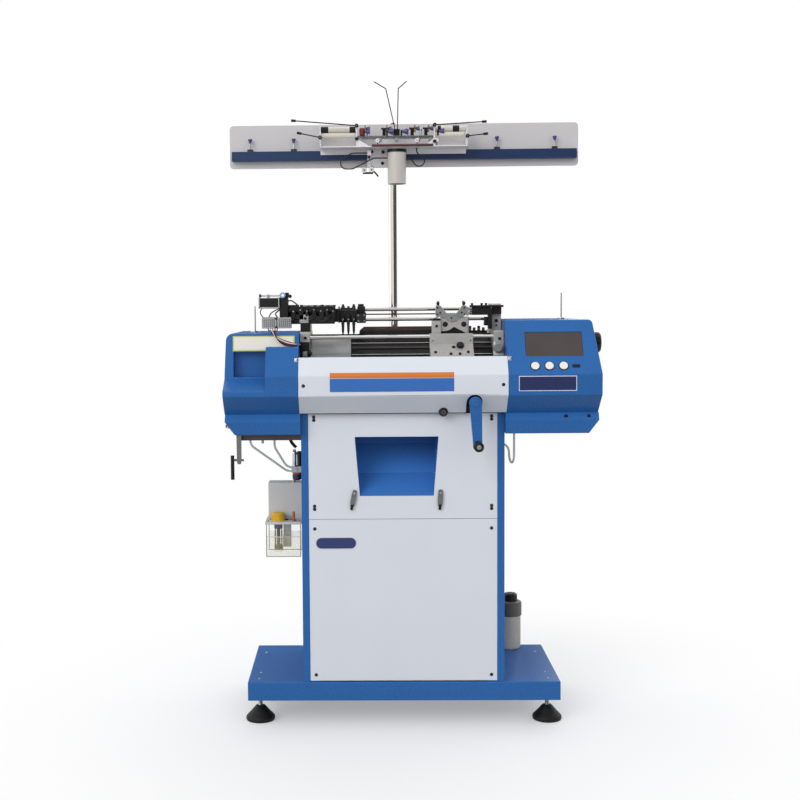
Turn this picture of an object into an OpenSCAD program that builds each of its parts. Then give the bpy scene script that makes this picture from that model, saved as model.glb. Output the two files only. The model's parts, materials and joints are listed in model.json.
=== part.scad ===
// Glove knitting machine: a flat-bed knitting head on a cabinet stand, with a yarn rail on a post.
// Millimetres, +Z up, front towards -Y.
// The modules work from the middle of the base; in_frame() moves the whole machine so that
// the origin lies on the floor under the middle of its overall box.

/* [Base and feet] */
// Width of the base tray
base_w = 940; // [900:1:1000]
// Depth of the base tray
base_d = 430; // [420:1:480]
// Height of the base tray's wall
base_h = 57; // [50:1:80]
// Height of the tray's lower edge above the floor
base_lift = 73; // [66:1:90]
// Sheet thickness of the base tray
base_sheet = 4; // [2:0.5:6]
// Diameter of a levelling foot's rubber cup
foot_d = 88; // [70:1:100]
// Height of a levelling foot's rubber cup
foot_cup_h = 45; // [35:1:50]
// Diameter of a levelling foot's stud
foot_stud_d = 14; // [10:1:18]
// Distance of a foot's axis from the tray's end
foot_inset_x = 34; // [30:1:60]
// Distance of a foot's axis from the tray's front or back
foot_inset_y = 50; // [40:1:70]

/* [Cabinet] */
// How far the cabinet's sides lie inside the covers' inner edges
cabinet_inset = 3; // [2:0.5:6]
// Depth of the cabinet
cabinet_d = 360; // [350:1:380]
// Height of the cabinet
cabinet_h = 810; // [780:1:840]
// How far the cabinet's front lies behind the tray's front
cabinet_set = 4; // [2:1:12]
// Sheet thickness of the cabinet's sides and back
cabinet_sheet = 2; // [1.5:0.5:3]
// Width of the blue strip beside the front panels
cabinet_strip = 21; // [15:1:26]
// Thickness of the white front panels
panel_sheet = 2; // [1:0.5:2.5]
// Height of the lower front panel
lower_panel_h = 490; // [460:1:520]
// Diameter of a panel screw's head
screw_head_d = 9; // [7:0.5:10]

/* [Glove chute] */
// Middle of the chute from the machine's middle
chute_x = -18; // [-30:1:0]
// Width of the opening at its upper edge
chute_top_w = 249; // [220:1:260]
// Width of the opening at its lower edge
chute_bottom_w = 220; // [190:1:230]
// Height of the opening
chute_h = 177; // [150:1:190]
// How far the opening's upper edge lies below the cabinet's top
chute_drop = 70; // [60:1:80]
// Depth of the chute behind the panel
chute_depth = 200; // [180:1:220]
// Length of a swing latch below its pin
latch_len = 52; // [40:1:60]
// Width of a swing latch
latch_w = 15; // [12:0.5:18]
// Lean of the left latch from plumb, in degrees
left_latch_lean = 11; // [0:1:20]
// Lean of the right latch from plumb, in degrees
right_latch_lean = 3; // [0:1:20]

/* [Head covers] */
// Thickness of the cast deck on the cabinet
deck_t = 18; // [12:1:20]
// How far the head's nose lies in front of the cabinet
head_overhang = 79; // [70:1:90]
// How far the covers' lower rim lies in front of the cabinet
rim_set = 24; // [20:1:30]
// Height of the nose's lower bend above the cabinet
nose_low = 57; // [50:1:65]
// Height of the nose's upper bend above the cabinet
nose_high = 117; // [105:1:125]
// Rise of the slanted console face
console_rise = 156; // [150:1:170]
// Depth of the slanted console face
console_run = 90; // [80:1:100]
// Width of the left cover
left_cover_w = 221; // [212:1:235]
// Width of the right cover
right_cover_w = 271; // [260:1:285]
// Height of the left cover's top above the cabinet
left_cover_h = 240; // [236:1:246]
// Height of the left cover's front block above the cabinet
left_block_h = 200; // [190:1:210]
// Width of the left cover's front block
left_block_w = 96; // [80:1:105]
// Height of the white middle cover's top above the cabinet
middle_cover_h = 169; // [160:1:175]
// Wall thickness of the blue covers and pans
cover_wall = 3; // [2:0.5:4]
// Sheet thickness of the white middle cover
middle_sheet = 2.5; // [1.5:0.5:3]
// Width of the left cover's pocket
pocket_w = 94; // [80:1:96]
// Height of the left cover's pocket
pocket_h = 74; // [60:1:76]
// Depth of the left cover's pocket
pocket_d = 38; // [25:1:45]
// Height of the pans under the covers
pan_h = 62; // [55:1:66]

/* [Console] */
// Middle of the screen from the right cover's inner edge
screen_inset = 137; // [131:1:143]
// Width of the screen window
screen_w = 167; // [156:1:172]
// Height of the screen window along the slant
screen_h = 80; // [72:1:84]
// Diameter of a push button
button_d = 24; // [18:0.5:28]
// Distance between push buttons
button_pitch = 41; // [36:0.5:44]
// How far a push button stands out
button_out = 4; // [3.5:0.5:6]
// Diameter of the black stop button
stop_d = 18; // [14:0.5:20]
// Distance of the stop button from the machine's middle
stop_x = 119; // [110:1:125]

/* [Knitting bed] */
// Slope of the needle beds in degrees
bed_slope = 38.8; // [36:0.2:42]
// Length of a needle bed down its slope
bed_len = 196; // [185:1:200]
// Thickness of a needle bed
bed_t = 20; // [14:1:24]
// Gap between the two needle beds
bed_gap = 32; // [26:1:36]
// Height of the beds' upper edges above the cabinet
bed_top = 232; // [229:0.5:234]
// Clear length between the head's end blocks
bed_w = 548; // [536:1:556]
// Width of an end block
end_block_w = 30; // [22:1:30]
// Pitch of the needle grooves that are drawn
groove_pitch = 6; // [5:0.5:10]
// Diameter of the carriage rails
rail_d = 13; // [10:0.5:16]
// Diameter of the yarn carrier rods
rod_d = 12; // [8:0.5:13]

/* [Carriage] */
// Width of the cam carriage
carriage_w = 129; // [120:1:140]
// Left end of the cam carriage from the machine's middle
carriage_x = 84; // [60:1:95]
// Thickness of the cam plates
cam_t = 30; // [24:1:34]
// Width of the yarn carrier
carrier_w = 85; // [70:1:95]
// Left end of the yarn carrier from the machine's middle
carrier_x = -190; // [-195:1:-180]

/* [Drive] */
// Distance of the crank shaft from the right end block
crank_inset = 66; // [65:0.5:72]
// Height of the crank shaft above the cabinet
crank_rise = 36; // [34:0.5:38]
// Length of the crank from shaft to grip
crank_r = 124; // [110:1:135]
// Lean of the crank from plumb, in degrees
crank_lean = 2.8; // [0:0.2:8]
// Thickness of the crank arm
crank_t = 12; // [8:1:14]
// Length of the crank grip
grip_len = 40; // [30:1:50]
// Diameter of the crank grip
grip_d = 30; // [24:1:34]
// Diameter of the drive shaft
shaft_d = 20; // [16:0.5:20]
// Diameter of the drive shaft's pulley
pulley_d = 110; // [96:1:112]
// Diameter of the motor pulley
motor_pulley_d = 44; // [36:1:50]
// Height of the motor's axis above the cabinet's foot
motor_rise = 200; // [150:1:240]
// Diameter of the motor
motor_d = 110; // [90:1:116]
// Diameter of the side hand wheel
wheel_d = 62; // [52:1:70]
// Thickness of the side hand wheel
wheel_t = 24; // [18:1:28]

/* [Yarn rail] */
// Diameter of the chrome post
post_d = 31; // [28:0.5:34]
// Distance of the post from the machine's middle
post_x = -15; // [-25:1:-5]
// Length of the white rail panel
rail_len = 1088; // [1060:1:1100]
// Height of the white rail panel
rail_h = 134; // [128:1:140]
// Height of the rail panel's lower edge above the cabinet
rail_rise = 749; // [735:1:765]
// Middle of the rail panel from the machine's middle
rail_x = 16; // [5:1:20]
// Height of the blue channel on the rail panel
channel_h = 29; // [25:1:32]
// Depth of the blue channel
channel_d = 26; // [22:1:30]
// Diameter of the work lamp
lamp_d = 57; // [50:1:60]
// Length of the work lamp
lamp_len = 110; // [95:1:120]
// Diameter of the yarn arms' wire
arm_d = 3.5; // [3:0.5:5]
// Reach of the upper left yarn arm
arm_reach_a = 200; // [180:1:210]
// Reach of the lower left yarn arm
arm_reach_b = 72; // [60:1:80]
// Reach of the upper right yarn arm
arm_reach_c = 158; // [140:1:170]
// Reach of the lower right yarn arm
arm_reach_d = 62; // [50:1:70]
// Height of the cone spindles above the covers
spindle_h = 80; // [60:1:100]
// Diameter of the cone spindles
spindle_d = 5; // [4:0.5:8]

/* [Side units] */
// Width of the oil tank
tank_w = 108; // [90:1:116]
// Depth of the oil tank
tank_d = 120; // [100:1:130]
// Height of the oil tank
tank_h = 101; // [92:1:110]
// Height of the oil tank's upper edge above the cabinet's foot
tank_rise = 466; // [450:1:480]
// Wall thickness of the oil tank
tank_wall = 3; // [2:0.5:4]
// Diameter of the oil cap
cap_d = 43; // [36:1:48]
// Height of the oil cap
cap_h = 24; // [18:1:28]
// Diameter of the collection bottle
bottle_d = 66; // [56:1:70]
// Height of the collection bottle
bottle_h = 182; // [165:1:190]
// Length of the stop lever below its pin
lever_len = 112; // [100:1:120]

/* [Fits] */
// Radial clearance of shafts, rails and pins that run in bores
running = 0.05; // [0.03:0.01:0.1]
// Clearance round pieces that pass through sheet
clearance = 0.4; // [0.3:0.05:0.6]

/* [Hidden] */
$fn = 48;
machine_blue = "#2f62ad";
panel_white = "#d9dbe3";
rubber_black = "#1b1b1d";
plastic_black = "#222226";
steel_grey = "#9a9da2";
chrome = "#c9ccd1";
cast_grey = "#b9b6ad";
cast_dark = "#4a4440";

// Base and cabinet planes
base_front = -base_d / 2;
base_back = base_d / 2;
base_top = base_lift + base_h;
foot_plate_t = 5;
foot_nut_h = 11;
cab_front = base_front + cabinet_set;
cab_back = cab_front + cabinet_d;
bed_half = bed_w / 2;
cover_split = bed_half + end_block_w + 1;
cab_half = cover_split - cabinet_inset;
cab_top = base_top + cabinet_h;
panel_front = cab_front + 1;
panel_back = panel_front + panel_sheet;
panel_half = cab_half - cabinet_strip - 0.5;
land_w = 30;
split_z = base_top + 3 + lower_panel_h;
screw_x = panel_half - 17;
screw_d = 5;

// Chute planes
lintel_z = cab_top - chute_drop;
sill_z = lintel_z - chute_h;
chute_sheet = 2;
slide_low = [chute_depth * 0.49, sill_z + chute_h * 0.311];
slide_high = [chute_depth * 0.84, sill_z + chute_h * 0.78];
chute_top = cab_top - 4;
latch_pin_z = sill_z + 10;
latch_pin_d = 5;
left_latch_x = chute_x - chute_bottom_w / 2 - 16;
right_latch_x = chute_x + chute_bottom_w / 2 + 20;

// Head planes
left_reach = cover_split + left_cover_w;
right_reach = cover_split + right_cover_w;
deck_top = cab_top + deck_t;
deck_left = -left_reach + 21;
deck_right = right_reach - 28;
deck_front = cab_front + 11;
deck_back = cab_back + 1;
cover_back = deck_back + 10;
rim_z = cab_top + 2;
rim_y = cab_front - rim_set;
nose_y = cab_front - head_overhang;
bevel_z = cab_top + nose_low;
crease_z = cab_top + nose_high;
console_tilt = atan2(console_run, console_rise);
console_top = crease_z + console_rise;
function console_y(z) = nose_y + (z - crease_z) * console_run / console_rise;
console_wall = cover_wall * cos(console_tilt);
left_top = cab_top + left_cover_h;
block_top = cab_top + left_block_h;
lip_z = bevel_z + 15;
recess_low = [cab_front - 11, bevel_z + 51];
recess_high = [cab_front + 6, left_top];
pocket_z = recess_low.y + 3;
pocket_x = -cover_split - left_block_w - 4 - pocket_w;
middle_top = cab_top + middle_cover_h;
middle_half = cover_split - 0.5;
pan_bottom = rim_z - pan_h;
ledge_h = 18;
stop_z = cab_top + 5;
stop_boss_d = stop_d + 8;
stop_front = rim_y - 11;

// Bed and carriage planes
ridge_z = cab_top + bed_top;
ridge_front = cab_front + 139;
ridge_back = ridge_front + bed_gap;
ridge_mid = ridge_front + bed_gap / 2;
function front_bed(u, n) =
    [ridge_front - u * cos(bed_slope) - n * sin(bed_slope),
    ridge_z - u * sin(bed_slope) + n * cos(bed_slope)];
function rear_bed(u, n) =
    [ridge_back + u * cos(bed_slope) + n * sin(bed_slope),
    ridge_z - u * sin(bed_slope) + n * cos(bed_slope)];
cheek_top = cab_top + 160;
rail_reach = 94;
rail_z = ridge_z - 8;
rail_front = ridge_mid - rail_reach;
rail_back = ridge_mid + rail_reach;
rod_upper = [ridge_mid + 36, ridge_z + 75];
rod_lower = [ridge_mid - 4, ridge_z + 45];
rod_thin = [ridge_mid + 16, ridge_z + 60];
rod_thin_d = 4;
rod_grip = 14;
cam_gap = 6;
plinth_top = rail_z + 20;
bridge_top = ridge_z + 104;
bridge_mid = carriage_x + carriage_w / 2;
bridge_front = rail_front + 10;
rack_front = ridge_mid - 71;
rack_low = ridge_z + 33;
rack_high = ridge_z + 88;
block_step = ridge_z + 10;

// Drive planes
crank_x = bed_half - crank_inset;
crank_z = cab_top + crank_rise;
crank_back = nose_y - 10;
crank_front = crank_back - crank_t;
grip_front = crank_front - grip_len;
grip_x = crank_x + crank_r * sin(crank_lean);
grip_z = crank_z - crank_r * cos(crank_lean);
grip_pin_d = 10;
bearing_front = cab_front + 21;
bearing_back = cab_back - 49;
pulley_y = ridge_mid + 86;
pulley_t = 25;
belt_t = 5;
belt_gap = 0.5;
motor_z = base_top + motor_rise;
motor_shaft_d = 14;
motor_back = pulley_y - 8;
motor_front = motor_back - 135;
wheel_y = cab_front + 71;
wheel_z = crease_z + 86;
wheel_side = right_reach - 17 * (wheel_z - crease_z) / console_rise;
wheel_in = wheel_side + 4;
wheel_out = wheel_in + wheel_t;
wheel_shaft_d = 16;

// Yarn rail planes
post_y = cab_back - 16;
panel_y = ridge_mid + 118;
rail_low = cab_top + rail_rise;
post_top = rail_low + 108;
channel_front = panel_y - channel_d;
channel_low = rail_low + 22;
channel_top = channel_low + channel_h;
bracket_left = -243;
bracket_right = 208;
bracket_back = channel_front;
bracket_depth = 71;
bracket_front = bracket_back - bracket_depth;
floor_z = channel_top + 2;
bracket_sheet = 3;
bracket_top = floor_z + 70;
mid_left = -132;
mid_right = 106;
bar_z0 = floor_z + 26;
bar_z1 = floor_z + 36;
bar_y = bracket_front + 25;
arm_pin_d = 4;
arm_eye_d = 12;
arm_t = 8;
arm_near = bracket_front - 3;
arm_far = bracket_front - 15;
upper_pin_z = bracket_top - 6;
lower_pin_z = floor_z + 28;
lamp_x = -7;
lamp_y = bracket_front + 35;
plate_left = -98;
plug_z = floor_z - 14;
guide_shares = [-0.8805, -0.6305, 0.5331, 0.8621];
guide_xs = [for (share = guide_shares) rail_x + share * rail_len / 2];

// Side unit planes
side_x = -cab_half;
tank_top = base_top + tank_rise;
tank_right = side_x - 6;
tank_left = tank_right - tank_w;
tank_front = cab_front + 76;
tank_back = tank_front + tank_d;
lid_t = 8;
lid_top = tank_top + lid_t;
cap_x = tank_left + 37;
cap_y = tank_front + 32;
strainer_d = 26;
valve_y = cab_front + 151;
valve_z = base_top + 615;
lever_x = -left_reach + 41;
lever_y = cab_front - 17;
lever_z = pan_bottom + 25;
bottle_x = cab_half + 61;
bottle_y = base_back - 41;
left_spindle_x = -left_reach + 79;
right_spindle_x = right_reach - 84;
spindle_y = cab_front + 161;

// Overall box and the shift that puts its middle over the origin
reach_left = max(left_reach, rail_len / 2 - rail_x);
reach_right = wheel_out;
shift_x = (reach_left - reach_right) / 2;
shift_y = (-grip_front - base_back) / 2;

// Route corners of the free hoses and the lamp's two cables; each corner is bent to a radius
hose_bend = 28.2;
cable_bend = 16;
ledge_z = pan_bottom - ledge_h;
hose_low = valve_z + 5;
hose_high = valve_z + 16;
valve_end = side_x - 28.1;
loop_z = pan_bottom - 102.5;
port_z = pan_bottom - 46;
cable_z = floor_z - 31;
hose_long = [
    [side_x - 156, -152, ledge_z - 0.1], [side_x - 156, -152, ledge_z - 20],
    [side_x - 50, valve_y, hose_low], [valve_end, valve_y, hose_low]
];
hose_short = [
    [side_x - 86, -104, ledge_z - 0.1], [side_x - 86, -104, ledge_z - 32],
    [side_x - 50, valve_y, hose_high], [valve_end, valve_y, hose_high]
];
hose_loop = [
    [cab_half + 38, -125, pan_bottom - 0.1], [cab_half + 38, -125, loop_z],
    [cab_half + 29, -68, loop_z], [cab_half + 29, -68, port_z], [cab_half + 0.1, -68, port_z]
];
lamp_cable = [
    [21.6, lamp_y, cable_z], [34, lamp_y, cable_z], [53, lamp_y, cable_z - 25],
    [78, lamp_y, cable_z - 25], [78, lamp_y, cable_z + 2], [54, lamp_y, cable_z + 14],
    [54, lamp_y, floor_z - 0.1]
];
sensor_cable = [
    [-35.6, lamp_y, cable_z + 1], [-78, lamp_y, cable_z + 1], [-143, lamp_y, cable_z - 31],
    [-180, lamp_y, cable_z - 31], [-180, lamp_y, cable_z + 1], [-143, lamp_y, plug_z],
    [plate_left - 0.1, lamp_y, plug_z]
];
hose_d = 7;
cable_d = 4;

// Plain helpers
module span(a, b) translate(a) cube(b - a);
module bar_along_x(x0, x1, y, z, d) translate([x0, y, z]) rotate([0, 90, 0]) cylinder(h = x1 - x0, d = d);
module bar_along_y(y0, y1, x, z, d) translate([x, y0, z]) rotate([-90, 0, 0]) cylinder(h = y1 - y0, d = d);
module bar_along_z(z0, z1, x, y, d) translate([x, y, z0]) cylinder(h = z1 - z0, d = d);
module along_x(x0, x1) translate([x0, 0, 0]) rotate([90, 0, 90]) linear_extrude(x1 - x0) children();
module along_y(y0, y1) translate([0, y1, 0]) rotate([90, 0, 0]) linear_extrude(y1 - y0) children();
module both_sides() {
    children();
    mirror([1, 0, 0]) children();
}
module at_feet() {
    for (sx = [0, 1], sy = [0, 1])
        mirror([sx, 0, 0]) mirror([0, sy, 0])
            translate([base_w / 2 - foot_inset_x, base_d / 2 - foot_inset_y, 0]) children();
}
module in_frame() translate([shift_x, shift_y, 0]) children();

// Straight round bar between two points
module bar_between(p, q, d) {
    v = q - p;
    translate(p) rotate([0, acos(v.z / norm(v)), atan2(v.y, v.x)]) cylinder(h = norm(v), d = d);
}

// Outline with rounded corners; each point is [x, y, radius]
function unit(v) = v / norm(v);
function flat(p) = [p.x, p.y];
function corner(p, q, s, r) =
    let (
        a = unit(p - q),
        b = unit(s - q),
        half = acos(max(-1, min(1, a * b))) / 2,
        c = q + unit(a + b) * r / sin(half),
        t0 = q + a * r / tan(half) - c,
        t1 = q + b * r / tan(half) - c,
        a0 = atan2(t0.y, t0.x),
        turn = ((atan2(t1.y, t1.x) - a0 + 540) % 360) - 180
    )
    [for (i = [0:5]) c + r * [cos(a0 + turn * i / 5), sin(a0 + turn * i / 5)]];
function rounded(pts) =
    let (n = len(pts))
    [for (i = [0:n - 1])
        each pts[i].z > 0
            ? corner(flat(pts[(i + n - 1) % n]), flat(pts[i]), flat(pts[(i + 1) % n]), pts[i].z)
            : [flat(pts[i])]];

// Outline round two circles of different size, the second below the first
function taper(c1, r1, c2, r2) =
    let (
        lean = asin((r1 - r2) / norm(c2 - c1)),
        down = atan2(c2.y - c1.y, c2.x - c1.x)
    )
    concat(
        [for (i = [0:24]) c1 + r1 * [cos(down + 90 - lean + i * (180 + 2 * lean) / 24),
                                     sin(down + 90 - lean + i * (180 + 2 * lean) / 24)]],
        [for (i = [0:16]) c2 + r2 * [cos(down - 90 + lean + i * (180 - 2 * lean) / 16),
                                     sin(down - 90 + lean + i * (180 - 2 * lean) / 16)]]
    );

// Route whose inner corners are bent to radius r with n steps each
function bend(p, q, s, r, n) =
    let (
        d0 = unit(q - p),
        d1 = unit(s - q),
        turn = acos(d0 * d1),
        c = q + unit(d1 - d0) * r / cos(turn / 2),
        e0 = unit(q - d0 * r * tan(turn / 2) - c)
    )
    [for (k = [0:n]) c + r * (cos(turn * k / n) * e0 + sin(turn * k / n) * d0)];
function bent(path, r, n) =
    let (last = len(path) - 1)
    [path[0], for (i = [1:last - 1]) each bend(path[i - 1], path[i], path[i + 1], r, n), path[last]];

// Round tube swept along a route that nowhere runs along the vector side
module tube(route, d, side = [0, 1, 0], sides = 8) {
    last = len(route) - 1;
    function heading(i) = unit(route[min(i + 1, last)] - route[max(i - 1, 0)]);
    function ring(i) =
        let (h = heading(i), a = unit(cross(h, side)), b = cross(h, a))
        [for (k = [0:sides - 1]) route[i] + d / 2 * (cos(360 * k / sides) * a + sin(360 * k / sides) * b)];
    polyhedron(
        points = [for (i = [0:last]) each ring(i)],
        faces = concat(
            [[for (k = [0:sides - 1]) k]],
            [[for (k = [0:sides - 1]) last * sides + sides - 1 - k]],
            [for (i = [0:last - 1], k = [0:sides - 1])
                let (n = (k + 1) % sides)
                [i * sides + k, (i + 1) * sides + k, (i + 1) * sides + n, i * sides + n]]
        )
    );
}

// Base tray of folded sheet with a plate for each foot
module base_tray() color(machine_blue) difference() {
    union() {
        difference() {
            along_x(-base_w / 2, base_w / 2)
                polygon(rounded([
                    [base_front, base_lift, 0], [base_back, base_lift, 0],
                    [base_back, base_top, 5], [base_front, base_top, 5]
                ]));
            span([-base_w / 2 + base_sheet, base_front + base_sheet, base_lift - 1],
                 [base_w / 2 - base_sheet, base_back - base_sheet, base_top - base_sheet]);
        }
        at_feet() span([-34, -34, base_lift],
                       [foot_inset_x - base_sheet / 2, foot_inset_y - base_sheet / 2,
                        base_lift + foot_plate_t]);
    }
    at_feet() bar_along_z(base_lift - 1, base_lift + foot_plate_t + 1, 0, 0, foot_stud_d + 2 * clearance);
}

// Four rubber cups, each with its stud and lock nut
module levelling_feet() color(rubber_black) at_feet() {
    rotate_extrude()
        polygon([
            [0, 0], [foot_d / 2 - 4, 0], [foot_d / 2, 5], [foot_d / 2, 12],
            [foot_stud_d, foot_cup_h], [0, foot_cup_h]
        ]);
    bar_along_z(foot_cup_h, base_lift + base_h - base_sheet - 12, 0, 0, foot_stud_d);
    translate([0, 0, base_lift - foot_nut_h]) cylinder(h = foot_nut_h, d = foot_stud_d * 1.8, $fn = 6);
}

// Every panel screw as [x, z]
screw_rows = [cab_top - 10, cab_top - 19, split_z + 40, split_z + 31, split_z - 28, base_top + 21];
panel_screw_spots = [for (s = [-1, 1], z = screw_rows) [s * screw_x, z]];
module panel_screw_holes() {
    for (p = panel_screw_spots)
        bar_along_y(panel_front - 2, panel_back + cabinet_sheet + 2, p.x, p.y, screw_d + 0.4);
}

// Folded side sheet of the cabinet with a land behind the front panels
module side_sheet() translate([0, 0, base_top]) linear_extrude(cabinet_h)
    polygon([
        [-cab_half, cab_back],
        [-cab_half, cab_front],
        [-cab_half + cabinet_strip, cab_front],
        [-cab_half + cabinet_strip, panel_back],
        [-cab_half + cabinet_strip + land_w, panel_back],
        [-cab_half + cabinet_strip + land_w, panel_back + cabinet_sheet],
        [-cab_half + cabinet_strip - cabinet_sheet, panel_back + cabinet_sheet],
        [-cab_half + cabinet_strip - cabinet_sheet, cab_front + cabinet_sheet],
        [-cab_half + cabinet_sheet, cab_front + cabinet_sheet],
        [-cab_half + cabinet_sheet, cab_back - cabinet_sheet],
        [-cab_half + cabinet_strip, cab_back - cabinet_sheet],
        [-cab_half + cabinet_strip, cab_back]
    ]);
module left_side_panel() color(machine_blue) difference() {
    side_sheet();
    panel_screw_holes();
}
module right_side_panel() color(machine_blue) difference() {
    mirror([1, 0, 0]) side_sheet();
    panel_screw_holes();
}

// Back of the cabinet with air slots
module rear_panel() color(machine_blue) difference() {
    span([-cab_half + cabinet_sheet + 1, cab_back - 2 * cabinet_sheet, base_top],
         [cab_half - cabinet_sheet - 1, cab_back - cabinet_sheet, cab_top]);
    for (i = [0:7])
        span([70, cab_back - 3 * cabinet_sheet, base_top + 120 + i * 24],
             [230, cab_back + 1, base_top + 128 + i * 24]);
}

// Outline of the glove opening, carried up to the given height
module chute_outline(grow, top)
    polygon([
        [chute_x - chute_bottom_w / 2 - grow, sill_z - grow],
        [chute_x + chute_bottom_w / 2 + grow, sill_z - grow],
        [chute_x + chute_top_w / 2 + grow, lintel_z],
        [chute_x + chute_top_w / 2 + grow, top],
        [chute_x - chute_top_w / 2 - grow, top],
        [chute_x - chute_top_w / 2 - grow, lintel_z]
    ]);

// White upper front panel with the glove opening
module upper_front_panel() color(panel_white) difference() {
    span([-panel_half, panel_front, split_z + 1], [panel_half, panel_back, cab_top - 1]);
    along_y(panel_front - 1, panel_back + 1) chute_outline(0, lintel_z);
    panel_screw_holes();
    for (x = [left_latch_x, right_latch_x])
        bar_along_y(panel_front - 1, panel_back + 1, x, latch_pin_z, latch_pin_d + 0.4);
    bar_along_y(panel_front - 1, panel_back + 1, stop_x, stop_z, stop_boss_d + 2);
}

// White lower front panel
module lower_front_panel() color(panel_white) difference() {
    span([-panel_half, panel_front, base_top + 3], [panel_half, panel_back, split_z]);
    panel_screw_holes();
}

// Sheet chute behind the opening, with a bent slide
module glove_chute() color(machine_blue) difference() {
    intersection() {
        along_y(panel_back, panel_back + chute_depth) chute_outline(chute_sheet, chute_top);
        along_x(-cab_half, cab_half)
            polygon([
                [panel_back, sill_z - chute_sheet], [panel_back + slide_low.x, slide_low.y],
                [panel_back + slide_high.x, slide_high.y], [panel_back + chute_depth, chute_top],
                [panel_back, chute_top]
            ]);
    }
    intersection() {
        along_y(panel_back - 1, panel_back + chute_depth) chute_outline(0, chute_top + 1);
        along_x(-cab_half, cab_half)
            polygon([
                [panel_back - 1, sill_z], [panel_back + slide_low.x - 2, slide_low.y + 2],
                [panel_back + slide_high.x - 2, slide_high.y + 2],
                [panel_back + chute_depth - 3, chute_top + 1], [panel_back - 1, chute_top + 1]
            ]);
    }
}

// Screws of the panels and the middle cover, and the latch pins
cover_screw_spots = [for (s = [-1, 1]) [s * (cover_split - 15), bevel_z + 31]];
module panel_screws() color(steel_grey) {
    for (p = panel_screw_spots) {
        bar_along_y(panel_front - 2.5, panel_front, p.x, p.y, screw_head_d);
        bar_along_y(panel_front, panel_back + cabinet_sheet + 2, p.x, p.y, screw_d);
    }
    for (p = cover_screw_spots) {
        bar_along_y(nose_y - 2.5, nose_y, p.x, p.y, screw_head_d);
        bar_along_y(nose_y, nose_y + middle_sheet + 10, p.x, p.y, screw_d);
    }
    for (x = [left_latch_x, right_latch_x]) {
        bar_along_y(panel_front - 9, panel_back + 2, x, latch_pin_z, latch_pin_d);
        bar_along_y(panel_front - 12, panel_front - 9, x, latch_pin_z, latch_pin_d + 5);
    }
}

// Swing latch that hangs on its pin
module latch(x, lean)
    translate([x, 0, latch_pin_z]) rotate([0, lean, 0]) difference() {
        along_y(panel_front - 8, panel_front - 2)
            polygon(rounded([
                [-latch_w * 0.4, 9, 4], [latch_w * 0.4, 9, 4], [latch_w / 2, -12, 5], [latch_w / 2, -30, 5],
                [latch_w * 0.27, -latch_len + 8, 2], [latch_w * 0.27, -latch_len, 3],
                [-latch_w * 0.27, -latch_len, 3], [-latch_w * 0.27, -latch_len + 8, 2],
                [-latch_w / 2, -30, 5], [-latch_w / 2, -12, 5]
            ]));
        bar_along_y(panel_front - 9, panel_front, 0, 0, latch_pin_d + 2 * running);
    }
module left_latch() color(plastic_black) latch(left_latch_x, left_latch_lean);
module right_latch() color(plastic_black) latch(right_latch_x, right_latch_lean);

// Cast deck with cheeks, shaft bearings, cover lugs and the stop button's boss
module head_frame() color(cast_dark) difference() {
    union() {
        span([deck_left, deck_front, cab_top], [deck_right, deck_back, deck_top]);
        both_sides() {
            span([bed_half, deck_front, deck_top], [bed_half + end_block_w, deck_back, cheek_top]);
            span([cover_split - 27, nose_y + middle_sheet, bevel_z + 18],
                 [cover_split - 5, deck_front + 2, bevel_z + 44]);
        }
        bar_along_y(stop_front, deck_front, stop_x, stop_z, stop_boss_d);
        for (y = [bearing_front, bearing_back])
            span([crank_x - 26, y, deck_top], [crank_x + 26, y + 20, crank_z + 24]);
    }
    span([chute_x - chute_top_w / 2, panel_back + 40, cab_top - 1],
         [chute_x + chute_top_w / 2, panel_back + 200, deck_top + 1]);
    span([crank_x - pulley_d / 2 - 9, pulley_y - 4, cab_top - 1],
         [crank_x + pulley_d / 2 + 9, pulley_y + pulley_t + 4, deck_top + 1]);
    bar_along_y(bearing_front - 1, bearing_back + 21, crank_x, crank_z, shaft_d + 2 * running);
    bar_along_y(stop_front - 1, deck_front + 20, stop_x, stop_z, stop_d + 2 * running);
    for (p = cover_screw_spots)
        bar_along_y(nose_y, nose_y + middle_sheet + 12, p.x, p.y, screw_d + 0.4);
}

// Spring-return stop button under the white cover
module stop_button() color(plastic_black) {
    bar_along_y(stop_front - 5, stop_front + 22, stop_x, stop_z, stop_d);
}

// Left cover: a set-back face with a pocket, and a block in front of its right half
module left_form(g) {
    e = g > 0 ? 1 : 0;
    intersection() {
        union() {
            along_x(-left_reach, -cover_split)
                polygon(rounded([
                    [rim_y + 1.4 * g, rim_z - e, 0], [nose_y + g, bevel_z + 0.4 * g, 8],
                    [nose_y + g, lip_z - 0.6 * g, 5], [recess_low.x + g, recess_low.y - 1.2 * g, 3],
                    [recess_high.x + g, recess_high.y - g, 6], [cover_back - g, left_top - g, 12],
                    [cover_back - g, rim_z - e, 0]
                ]));
            along_x(-cover_split - left_block_w + g, -cover_split)
                polygon(rounded([
                    [rim_y + 1.4 * g, rim_z - e, 0], [nose_y + g, bevel_z + 0.4 * g, 8],
                    [nose_y + g, crease_z, 14], [console_y(block_top - g) + g, block_top - g, 8],
                    [0, block_top - g, 0], [0, rim_z - e, 0]
                ]));
        }
        along_y(nose_y - 1, cover_back + 1)
            polygon(rounded([
                [-left_reach + g, rim_z - 2, 0], [-cover_split - g, rim_z - 2, 0],
                [-cover_split - g, left_top + 1 - g, 0],
                [-left_reach + 5 + g, left_top - g, 22], [-left_reach + g, crease_z, 20]
            ]));
    }
}
module pocket_space(grow)
    span([pocket_x - grow, nose_y, pocket_z - grow],
         [pocket_x + pocket_w + grow, recess_low.x + pocket_d + grow, pocket_z + pocket_h + grow]);
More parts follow.
